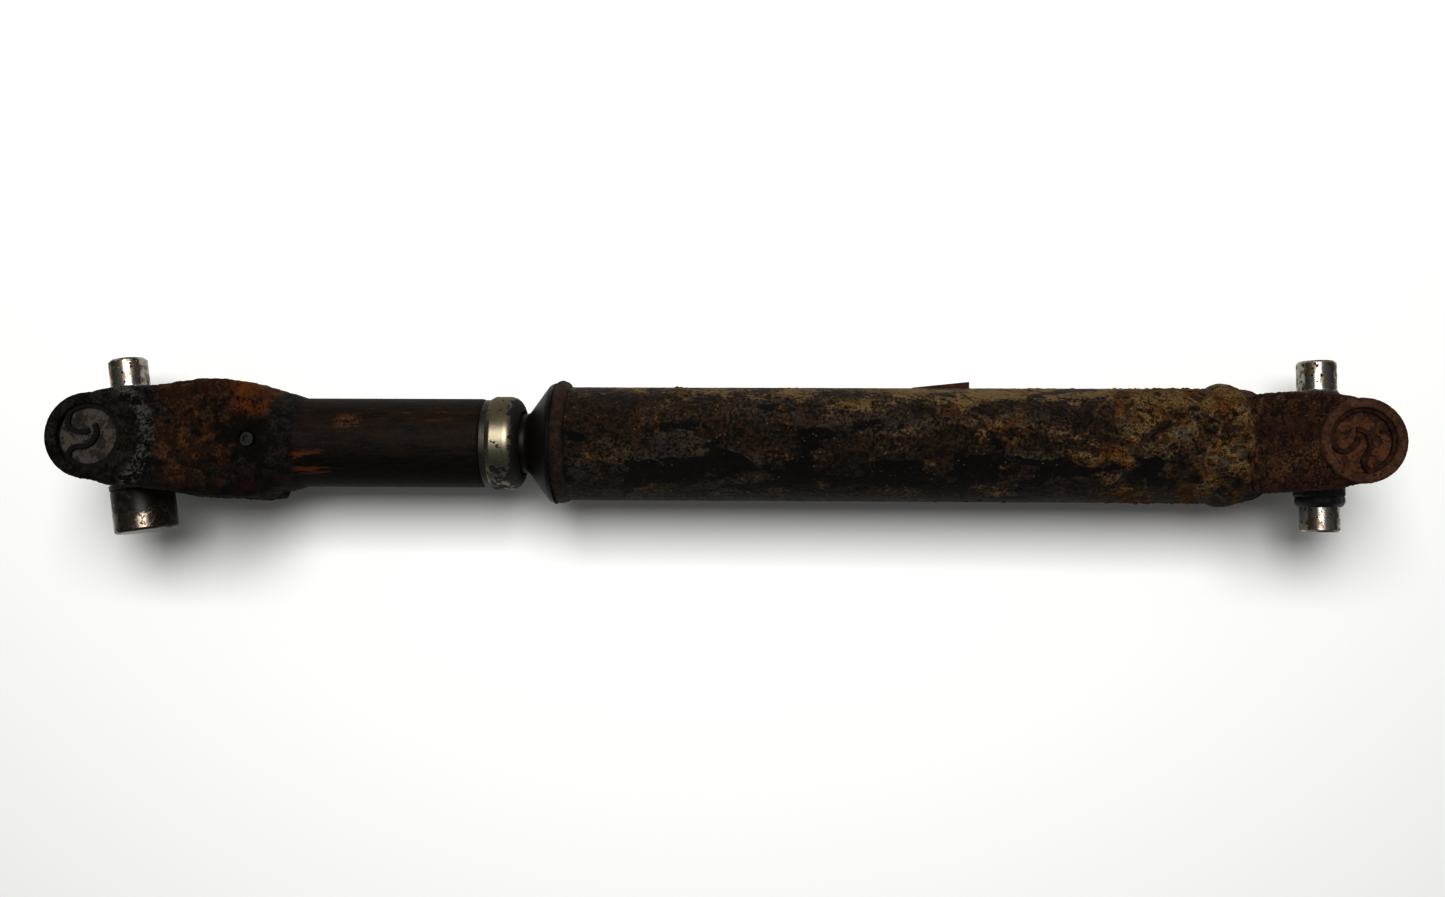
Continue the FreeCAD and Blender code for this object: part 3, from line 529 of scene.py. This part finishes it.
tube_cross_finish = finish("tube_cross_steel", cross_recipe(TUBE_CENTRE))
slip_cross_finish = finish("slip_cross_steel", cross_recipe(SLIP_CENTRE))
print("made", tube_cross_finish.name, "and", slip_cross_finish.name)

# %% [markdown]
# ## Cups and clips
# The pressed bearing cups sit in the ears behind spring clips.  The tube end's cups have rusted with their fork,
# the slip end's are grey with a dried brown film, and the loose cup is still bare steel with oil on it.  One
# recipe serves the two seated pairs: it takes the colours and how much metal still shows, and adds the faint
# turning rings of the cup's face.  The loose cup is nearly all metal under a thin film, so it has its own.

# %% Cup finishes
def cup_recipe(centre, bare, clean, film, dark, metal):
    def recipe(bench, place):
        along, across = bench.split(place)[:2]
        station = along - centre
        radius = (station * station + across * across) ** 0.5
        broad = bench.noise(place, 7, 4, 0.6, 0.6)
        medium = bench.noise(place, 2.6, 6, 0.68, 0.3)
        fine = bench.noise(place, 0.8, 5, 0.7)
        bright = (broad * 0.6 + medium * 0.4 + bare).rise(0.47, 0.55)
        colour = bench.mixed(medium.rise(0.4, 0.6), film, dark)
        colour = bench.mixed(bright, colour, clean)
        smears = (medium * 0.7 + broad * 0.3).rise(0.56, 0.64)
        colour = bench.mixed(smears * 0.85, colour, dark)
        return {
            "Base Color": colour,
            "Metallic": bright * (1 - smears) * metal,
            "Roughness": 0.52 - bright * 0.2 * metal + fine * 0.25,
            "height": (fine * 0.6 + medium * 1.2) * (1 - metal * 0.93) + (radius * 6).math("SINE") * 0.006,
        }

    return recipe


def loose_cup_recipe(bench, place):
    across = bench.split(place)[1]
    broad = bench.noise(place, 9, 4, 0.6, 0.3)
    medium = bench.noise(place, 3, 6, 0.66, 0.3)
    fine = bench.noise(place, 0.8, 5, 0.7)
    film = (broad * 0.5 + medium * 0.5 + across.rise(-40, -28) * 0.12).rise(0.52, 0.60)
    colour = bench.mixed(film, LOOSE_STEEL, LOOSE_FILM)
    colour = bench.mixed(medium.rise(0.56, 0.62) * 0.8, colour, OIL_AND_PAINTED_SHADE)
    return {
        "Base Color": colour,
        "Metallic": 1 - film * 0.75,
        "Roughness": 0.2 + film * 0.16 + fine * 0.08,
        "height": film * 0.05 + fine * 0.03,
    }


CUP_GREY = tone(84, 76, 69)
CUP_FILM = tone(50, 40, 33)
CUP_RUST = tone(96, 62, 36)
LOOSE_STEEL = tone(104, 96, 86)
LOOSE_FILM = tone(40, 26, 20)
rusty_cup = cup_recipe(TUBE_CENTRE, 0.0, CUP_RUST, RED_BROWN, DEEP_RUST, 0.0)
grey_cup = cup_recipe(SLIP_CENTRE, 0.02, CUP_GREY, CUP_FILM, GREASE_AND_PAINTED_SHADE, 0.25)
tube_cup_finish = finish("tube_cup_rust", rusty_cup, Specular_IOR_Level=0.25)
slip_cup_finish = finish("slip_cup_grey", grey_cup, Specular_IOR_Level=0.35)
loose_cup_finish = finish("loose_cup_steel", loose_cup_recipe)
print("made three cup finishes")

# %% [markdown]
# ## The dust cap
# The pressed cap is nickel plated.  Its plating is still bright in the middle, browned along the top and lost to
# black spots near the shoulder, and more black spots are painted on the -Y side, away from the lamp, as shade.
# Plating is a smooth metal, so here the roughness stays low and the bump is weak.

# %% Cap finish
NICKEL = tone(122, 116, 101)
NICKEL_BROWN = tone(104, 94, 72)
CAP_END = SLIP_CENTRE + 177.0


def cap_recipe(bench, place):
    along, across = bench.split(place)[:2]
    broad = bench.noise(place, 9, 5, 0.6, 0.6)
    medium = bench.noise(place, 3, 6, 0.66, 0.4)
    fine = bench.noise(place, 0.7, 5, 0.7)
    browned = (broad + across.rise(4, 16) * 0.22).rise(0.5, 0.62)
    colour = bench.mixed(browned * 0.85, NICKEL, NICKEL_BROWN)
    shoulder = (along + medium * 6).rise(CAP_END - 1.5, CAP_END + 1.5)
    # Black spots where the plating is lost, with more on the -Y side as painted shade.
    lost_plating_and_painted_shade = (medium * 0.6 + broad * 0.4 + shoulder * 0.3 + across.fall(-12, -3) * 0.07).rise(0.54, 0.59)
    colour = bench.mixed(lost_plating_and_painted_shade * 0.97, colour, PIT_BLACK)
    return {
        "Base Color": colour,
        "Metallic": 1 - lost_plating_and_painted_shade * 0.9 - browned * 0.2,
        "Roughness": 0.32 + browned * 0.2 + lost_plating_and_painted_shade * 0.2 + fine * 0.12,
        "height": lost_plating_and_painted_shade * 0.12 + fine * 0.03,
    }


cap_finish = finish("cap_nickel", cap_recipe)
print("made", cap_finish.name)

# %% [markdown]
# ## Small parts
# The remaining parts share one simple recipe, two colours broken up by noise with some metal showing, because
# each is small or half hidden.  Cork and felt get a coarse grain and no metal.

# %% Small-part finishes
def mottled(first, second, size, metal, rough, depth):
    def recipe(bench, place):
        medium = bench.noise(place, size, 6, 0.66, 0.3)
        fine = bench.noise(place, size / 5, 5, 0.7)
        mask = (medium * 0.7 + fine * 0.3).rise(0.42, 0.6)
        return {
            "Base Color": bench.mixed(mask, first, second),
            "Metallic": metal - mask * metal * 0.8,
            "Roughness": rough + fine * 0.2,
            "height": fine * depth,
        }

    return recipe


def small(name, first, second, size, metal, rough, depth, **fixed):
    return finish(name, mottled(tone(*first), tone(*second), size, metal, rough, depth), **fixed)


stub_finish = small("stub_oily_steel", (22, 19, 15), (12, 10, 7), 7, 0.2, 0.32, 0.12, Specular_IOR_Level=0.25)
bead_finish_dark = small("stub_weld", (58, 40, 27), (24, 18, 13), 4, 0.0, 0.5, 0.5, Specular_IOR_Level=0.2)
weight_finish = small("weight_rust", (78, 38, 24), (44, 24, 16), 5, 0.0, 0.6, 0.3, Specular_IOR_Level=0.25)
clip_finish = small("clip_spring_steel", (22, 19, 16), (10, 8, 7), 3, 0.1, 0.35, 0.08, Specular_IOR_Level=0.2)
rusty_clip_finish = small("clip_rusted", (60, 37, 22), (24, 14, 9), 3, 0.0, 0.6, 0.15, Specular_IOR_Level=0.12)
ring_finish = small("ring_worn_steel", (64, 58, 50), (18, 15, 12), 4, 0.5, 0.35, 0.06)
cork_finish = small("cork_seal", (96, 66, 38), (40, 26, 16), 1.4, 0.0, 0.7, 0.35)
felt_finish = small("felt_oily", (48, 40, 30), (24, 19, 14), 1.1, 0.0, 0.85, 0.4)
retainer_finish = small("retainer_sheet", (96, 88, 76), (34, 26, 20), 3, 0.7, 0.35, 0.06)
nipple_finish = small("nipple_zinc", (120, 112, 92), (48, 36, 24), 2, 0.7, 0.35, 0.06)
needle_finish = small("needle_steel", (190, 188, 182), (120, 104, 78), 3, 0.95, 0.16, 0.02)
plug_finish = small("plug_blackened", (24, 21, 18), (10, 8, 7), 2, 0.4, 0.35, 0.08)
print("made the small-part finishes")

# %% Put finishes on the solids that stay
KEPT = {
    "stub_shaft": stub_finish,
    "balance_weight": weight_finish,
    "weight_tacks": weight_finish,
    "tube_cup_upper": tube_cup_finish,
    "tube_cup_lower": tube_cup_finish,
    "tube_circlip_upper": rusty_clip_finish,
    "tube_circlip_lower": rusty_clip_finish,
    "slip_cup_upper": slip_cup_finish,
    "slip_cup_lower": slip_cup_finish,
    "slip_circlip_upper": clip_finish,
    "slip_circlip_lower": clip_finish,
    "loose_cup": loose_cup_finish,
    "core_plug": plug_finish,
    "grease_plug": plug_finish,
    "dust_cap": cap_finish,
    "lock_ring": ring_finish,
    "seal_washer": ring_finish,
    "felt_seal": felt_finish,
    "slip_cross": slip_cross_finish,
    "tube_cross": tube_cross_finish,
}
for end in ("slip", "tube"):
    KEPT[end + "_cross_seals"] = cork_finish
    KEPT[end + "_cross_seal_retainers"] = retainer_finish
    KEPT[end + "_cross_nipple"] = nipple_finish
    for side in ("upper", "lower"):
        KEPT[end + "_needles_" + side] = needle_finish
KEPT["loose_needles"] = needle_finish

for name, material in KEPT.items():
    solid = nodes[name]
    for material_slot in solid.material_slots:
        material_slot.material = material
print("finished", len(KEPT), "solids")

# %% [markdown]
# ## Running a Geometry Nodes tree
# A tree is built once, with its sizes as named inputs, and then run on a host object.  The inputs are set by
# their identifiers before the host is first evaluated.  The result is read back as a plain mesh, and the host
# goes, so no live modifier is left on the piece.

# %% Tree runner
def make_tree(name, inputs, build):
    """A tree with float inputs.  build(bench, geometry, sizes) returns the geometry."""
    tree = bpy.data.node_groups.new(name, "GeometryNodeTree")
    kinds = {"Geometry": "NodeSocketGeometry", "Material": "NodeSocketMaterial"}
    for key in ("Geometry", *inputs, "Material"):
        tree.interface.new_socket(key, in_out="INPUT", socket_type=kinds.get(key, "NodeSocketFloat"))
    tree.interface.new_socket("Geometry", in_out="OUTPUT", socket_type="NodeSocketGeometry")
    bench = Bench(tree)
    entry = tree.nodes.new("NodeGroupInput")
    sizes = {key: Wire(bench, find_socket(entry.outputs, key)) for key in (*inputs, "Material")}
    made = build(bench, Wire(bench, entry.outputs["Geometry"]), sizes)
    made = bench.node("GeometryNodeRealizeInstances", {}, {0: made})
    made = bench.node("GeometryNodeSetMaterial", {}, {0: made, "Material": sizes["Material"]})
    made = bench.node("GeometryNodeSetShadeSmooth", {}, {0: made})
    bench.node("NodeGroupOutput", {}, {0: made})
    return tree


def run_tree(name, tree, values, host=None):
    """Run a tree on a host object and return its result as a plain object."""
    host = host or add_object(name + "_host", bpy.data.meshes.new(name + "_host"))
    modifier = host.modifiers.new("tree", "NODES")
    modifier.node_group = tree
    for item in tree.interface.items_tree:
        if item.in_out == "INPUT" and item.name in values:
            modifier[item.identifier] = values[item.name]
    depsgraph = bpy.context.evaluated_depsgraph_get()
    mesh = bpy.data.meshes.new_from_object(host.evaluated_get(depsgraph), depsgraph=depsgraph)
    bpy.data.objects.remove(host)
    piece = add_object(name, mesh)
    mesh.name = name
    print(name, "faces", len(mesh.polygons))
    return piece


def in_millimetres(bench):
    return bench.scaled(bench.node("GeometryNodeInputPosition"), 1 / MM)


print("tree runner ready")

# %% [markdown]
# ## Forged skins
# A forging has soft corners, a slightly wavy skin and, after years outside, pits.  The CAD solid has sharp seams
# instead, so a merged copy is remeshed into even small faces, pulled back onto the true surface, smoothed where
# the hammer shaped it, and sunk in and out by noise.  The bore, the faced ear and the turned sleeve are kept
# crisp by a mask, because a lathe made those.

# %% Forged skin tree
HOLLOW_RADIUS = 16.5
HOLLOW_FROM = 25.0
EAR_FACE = 42.0
BLUR_TIMES = 9
FACE_WEAR = 0.06


def forged_build(bench, geometry, sizes):
    position = in_millimetres(bench)
    along, across, up = bench.split(position)
    station = (along - sizes["Centre"]).math("ABSOLUTE")
    ear_distance = (station * station + across * across) ** 0.5
    skin = ear_distance.rise(sizes["Bore"], sizes["Bore"] + 2.0)
    skin = skin * station.fall(sizes["Turned"], sizes["Turned"] + 4)
    inside = (across * across + up * up) ** 0.5
    skin = skin * (1 - inside.fall(HOLLOW_RADIUS, HOLLOW_RADIUS + 1.5) * station.rise(HOLLOW_FROM, HOLLOW_FROM + 5))
    ear_face = up.math("ABSOLUTE").rise(EAR_FACE, EAR_FACE + 0.8)
    faced = 1 - ear_distance.fall(sizes["Faced"], sizes["Faced"] + 1) * ear_face
    blurred = bench.node("GeometryNodeBlurAttribute", {"data_type": "FLOAT_VECTOR"}, {
        "Value": bench.node("GeometryNodeInputPosition"),
        "Iterations": BLUR_TIMES,
        "Weight": skin * faced,
    })
    smoothed = bench.node("GeometryNodeSetPosition", {}, {"Geometry": geometry, "Position": blurred})
    waves = bench.noise(position, 7, 3, 0.5) - 0.5
    scale = bench.noise(position, 2.2, 4, 0.65) - 0.5
    pits = bench.cells(position, 4.5).fall(0.12, 0.32) * bench.noise(position, 9, 2, 0.5).rise(0.45, 0.6)
    height = (waves * 1.3 + scale * 1.1) * sizes["Rough"] - pits * sizes["Pits"]
    height = height * skin * (faced * (1 - FACE_WEAR) + FACE_WEAR) * MM
    shift = bench.scaled(bench.node("GeometryNodeInputNormal"), height)
    return bench.node("GeometryNodeSetPosition", {}, {"Geometry": smoothed, "Offset": shift})


forged_tree = make_tree("forged_skin", ("Centre", "Bore", "Turned", "Faced", "Rough", "Pits"), forged_build)
print("forged tree with", len(forged_tree.nodes), "nodes")

# %% Remesh and skin both forks
MERGE_WITHIN = 1e-6


def merged_copy(solid, name):
    """A copy of a solid's mesh with its loose triangles joined."""
    copy = add_object(name, solid.data.copy())
    weld = copy.modifiers.new("weld", "WELD")
    weld.merge_threshold = MERGE_WITHIN
    return copy


def even_copy(solid, name, pitch):
    """The same surface in even faces of about pitch, pulled back onto the solid."""
    target = merged_copy(solid, name + "_target")
    host = merged_copy(solid, name + "_host")
    remesh = host.modifiers.new("remesh", "REMESH")
    remesh.mode = "VOXEL"
    remesh.voxel_size = pitch
    back = host.modifiers.new("back", "SHRINKWRAP")
    back.target = target
    back.wrap_method = "NEAREST_SURFACEPOINT"
    depsgraph = bpy.context.evaluated_depsgraph_get()
    mesh = bpy.data.meshes.new_from_object(host.evaluated_get(depsgraph), depsgraph=depsgraph)
    for spare in (host, target):
        bpy.data.objects.remove(spare)
    mesh.materials.clear()
    return add_object(name + "_even", mesh)


SLIP_PITCH = 0.00092
TUBE_PITCH = 0.00080
slip_values = {"Centre": SLIP_CENTRE, "Bore": 15.0, "Turned": 70.0, "Faced": 26.0, "Rough": 1.5, "Pits": 0.4}
slip_values["Material"] = slip_fork_finish
slip_even = even_copy(nodes["slip_yoke"], "slip_fork", SLIP_PITCH)
slip_fork = run_tree("slip_fork_skin", forged_tree, slip_values, slip_even)
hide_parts("slip_yoke")
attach(slip_fork, "slip_yoke")

tube_values = {"Centre": TUBE_CENTRE, "Bore": 15.0, "Turned": 60.0, "Faced": 17.6, "Rough": 1.5, "Pits": 0.6}
tube_values["Material"] = tube_fork_finish
tube_even = even_copy(nodes["tube_yoke"], "tube_fork", TUBE_PITCH)
tube_fork = run_tree("tube_fork_skin", forged_tree, tube_values, tube_even)
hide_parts("tube_yoke")
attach(tube_fork, "tube_shaft")

# %% [markdown]
# ## The tube
# A tube is one closed profile carried round an axis: along the outside, down the wall, back along the bore.  The
# tree makes a flat grid, reads each point's column and row, and sends the columns along that profile and the
# rows round the axis.  Merging by distance closes both seams.  The outside then rises by the crust's height, and
# the same noise that hides the crust's colour places it, so colour and shape agree.

# %% Tube skin tree
TURN = 2 * math.pi
TUBE_GRID = (372, 196)


def grid_wires(bench, columns, rows):
    """A grid with its column and row numbers as wires."""
    grid = bench.node("GeometryNodeMeshGrid", {}, {0: 1.0, 1: 1.0, 2: columns, 3: rows})
    across, down = bench.split(bench.node("GeometryNodeInputPosition"))[:2]
    column = ((across + 0.5) * (columns - 1)).math("ROUND")
    row = ((down + 0.5) * (rows - 1)).math("ROUND")
    return grid, column, row


def closed_round(bench, grid, along, radius, angle):
    """Send the grid's points to a place round the X axis and close the seams."""
    place = bench.joined(along, radius * angle.math("COSINE"), radius * angle.math("SINE"))
    placed = bench.node("GeometryNodeSetPosition", {}, {"Geometry": grid, "Position": bench.scaled(place, MM)})
    return bench.node("GeometryNodeMergeByDistance", {}, {"Geometry": placed, "Distance": MERGE_WITHIN})


def tube_build(bench, geometry, sizes):
    columns, rows = TUBE_GRID
    grid, column, row = grid_wires(bench, columns, rows)
    last = columns - 3
    share = bench.node("ShaderNodeClamp", {}, {0: (column - 1) / (last - 1)})
    outside = column.math("GREATER_THAN", 0.5) * column.math("LESS_THAN", last + 0.5)
    along = sizes["Start"] + (sizes["End"] - sizes["Start"]) * share * column.math("LESS_THAN", last + 1.5)
    angle = row * (TURN / (rows - 1))
    circle = bench.joined(along, angle.math("COSINE"), angle.math("SINE"))
    outer = bench.vector("MULTIPLY", circle, (1, TUBE_RADIUS, TUBE_RADIUS))
    away = share.band(0.02, 0.98, 0.01)
    scale = bench.noise(outer, 3.0, 4, 0.62) - 0.5
    lumps = bench.noise(outer, 2.2, 3, 0.6).rise(0.5, 0.75) * crust_cover(bench, outer)
    radius = sizes["Bore"] + (sizes["Radius"] - sizes["Bore"] + (scale * 0.35 + lumps * 0.9) * away) * outside
    return closed_round(bench, grid, along, radius, angle)


TUBE_BORE = 23.3
tube_low, tube_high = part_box("tube")
tube_tree = make_tree("tube_skin", ("Start", "End", "Radius", "Bore"), tube_build)
tube_sizes = {"Start": tube_low.x / MM, "End": tube_high.x / MM, "Radius": tube_high.z / MM, "Bore": TUBE_BORE}
tube_sizes["Material"] = tube_finish
tube = run_tree("tube_skin", tube_tree, tube_sizes)
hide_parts("tube")
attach(tube, "tube_shaft")

# %% [markdown]
# ## Weld beads
# A weld bead is a low ring of overlapping drops.  It is the same kind of grid, carried round a half-oval section.
# Each drop lifts the crown a little, and slow noise makes the bead wander, since a hand held the torch.

# %% Weld beads
BEAD_GRID = (40, 420)
BEAD_MIDDLE = 26
BEAD_ROOT = 1.4


def bead_build(bench, geometry, sizes):
    columns, rows = BEAD_GRID
    grid, column, row = grid_wires(bench, columns, rows)
    section = column * (TURN / (columns - 1))
    angle = row * (TURN / (rows - 1))
    side, rise = section.math("COSINE"), section.math("SINE")
    crown = rise.math("MAXIMUM", 0.0)
    root = rise.math("MINIMUM", 0.0)
    centre = (sizes["Start"] + sizes["End"]) * 0.5
    half = (sizes["End"] - sizes["Start"]) * 0.5
    ring = bench.joined(
        centre + half * side, angle.math("COSINE") * BEAD_MIDDLE, angle.math("SINE") * BEAD_MIDDLE
    )
    wander = bench.noise(ring, 11, 3, 0.6) - 0.5
    grain = bench.noise(ring, 2.4, 4, 0.65) - 0.5
    drops = (angle * (sizes["Drops"] * 0.5) + side * side * 0.9).math("SINE").math("ABSOLUTE")
    lift = sizes["Lift"] * (angle.math("COSINE") * sizes["Lean"] + 1)
    lift = lift + drops * sizes["Ripple"] + (wander * 2.4 + grain * 1.2) * sizes["Rough"]
    radius = sizes["Base"] + crown * lift + root * BEAD_ROOT
    along = centre + (half + wander * 2.0 * crown) * side
    return closed_round(bench, grid, along, radius, angle)


BEAD_INPUTS = ("Start", "End", "Base", "Lift", "Lean", "Drops", "Ripple", "Rough")
bead_tree = make_tree("weld_bead", BEAD_INPUTS, bead_build)
stub_low, stub_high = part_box("weld_bead_stub")
yoke_low, yoke_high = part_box("weld_bead_yoke")
stub_sizes = {
    "Start": stub_low.x / MM - 0.6, "End": stub_high.x / MM + 0.4, "Base": 24.7, "Lift": 2.7,
    "Lean": 0.28, "Drops": 46.0, "Ripple": 0.12, "Rough": 0.55, "Material": bead_finish_dark,
}
stub_bead = run_tree("stub_bead", bead_tree, stub_sizes)
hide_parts("weld_bead_stub")
yoke_sizes = {
    "Start": yoke_low.x / MM - 0.5, "End": yoke_high.x / MM + 1.5, "Base": 24.0, "Lift": 2.9,
    "Lean": 0.12, "Drops": 40.0, "Ripple": 0.2, "Rough": 1.0, "Material": tube_finish,
}
yoke_bead = run_tree("yoke_bead", bead_tree, yoke_sizes)
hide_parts("weld_bead_yoke")
for bead in (stub_bead, yoke_bead):
    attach(bead, "tube_shaft")

# %% [markdown]
# ## Rust scabs
# Thick rust lifts off as small flat flakes that break the outline.  They are strewn over the finished skins:
# points scattered by a fixed seed, thinned by a mask, each carrying a squashed twenty-sided pebble turned to the
# surface.  Few faces each, because there are hundreds.

# %% Rust scabs
SCATTER_SEED = 7
SIZE_SEED = 3
SMALLEST = 0.25
BORE_CLEAR = 20.5


def scab_build(bench, geometry, sizes):
    position = in_millimetres(bench)
    along, across, up = bench.split(position)
    inside = (across * across + up * up) ** 0.5
    patch = bench.noise(position, 16, 3, 0.6).rise(0.46, 0.62) * along.rise(sizes["From"], sizes["Full"])
    patch = patch * along.fall(sizes["Last"], sizes["Last"] + 4) * inside.rise(BORE_CLEAR, BORE_CLEAR + 1)
    points = bench.node("GeometryNodeDistributePointsOnFaces", {"distribute_method": "RANDOM"}, {
        "Mesh": geometry, "Density": patch * sizes["Density"], "Seed": SCATTER_SEED,
    })
    turned = Wire(bench, find_socket(points.socket.node.outputs, "Rotation"))
    pebble = bench.node("GeometryNodeMeshIcoSphere", {}, {"Radius": MM, "Subdivisions": 1})
    size_range = {"Min": SMALLEST, "Max": sizes["Largest"], "Seed": SIZE_SEED}
    size = bench.node("FunctionNodeRandomValue", {"data_type": "FLOAT"}, size_range, out="Value")
    flat = bench.joined(size * 1.3, size, size * 0.45)
    return bench.node("GeometryNodeInstanceOnPoints", {}, {
        "Points": points, "Instance": pebble, "Rotation": turned, "Scale": flat,
    })


scab_tree = make_tree("scabs", ("From", "Full", "Last", "Density", "Largest"), scab_build)


def strew(name, skin, values, material, body):
    host = add_object(name + "_host", skin.data.copy())
    scabs = run_tree(name, scab_tree, {**values, "Material": material}, host)
    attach(scabs, body)


tube_scab_values = {"From": -330.0, "Full": -60.0, "Last": -40.0, "Density": 30000.0, "Largest": 0.95}
strew("tube_scabs", tube, tube_scab_values, tube_finish, "tube_shaft")
fork_scab_values = {"From": -60.0, "Full": -50.0, "Last": -20.0, "Density": 60000.0, "Largest": 1.0}
strew("tube_fork_scabs", tube_fork, fork_scab_values, tube_fork_finish, "tube_shaft")
slip_scab_values = {"From": -520.0, "Full": -495.0, "Last": -455.0, "Density": 30000.0, "Largest": 0.95}
strew("slip_fork_scabs", slip_fork, slip_scab_values, slip_fork_finish, "slip_yoke")

# %% [markdown]
# ## Grease on the trunnion
# Black grease has been squeezed out at the foot of one trunnion.  It is a lumpy collar, so the weld's own tree
# makes it, with no drops and more wander, and the result is turned onto the trunnion's axis.

# %% Grease collar
grease_finish = small("grease_black", (16, 16, 18), (34, 34, 38), 3, 0.0, 0.22, 0.25)
grease_sizes = {
    "Start": 20.6, "End": 27.0, "Base": 7.9, "Lift": 2.3,
    "Lean": 0.1, "Drops": 0.0, "Ripple": 0.0, "Rough": 0.5, "Material": grease_finish,
}
grease = run_tree("trunnion_grease", bead_tree, grease_sizes)
grease.data.transform(Matrix.Rotation(-math.pi / 2, 4, "Z"))
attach(grease, "tube_cross")
print("grease collar box", [round(value, 4) for value in grease.dimensions])

# %% [markdown]
# ## Face count
# The last line adds up the faces of every mesh in the scene and prints the total.

# %% Face count
faces = sum(len(piece.data.polygons) for piece in bpy.context.scene.objects if piece.type == "MESH")
print("faces in all", faces)
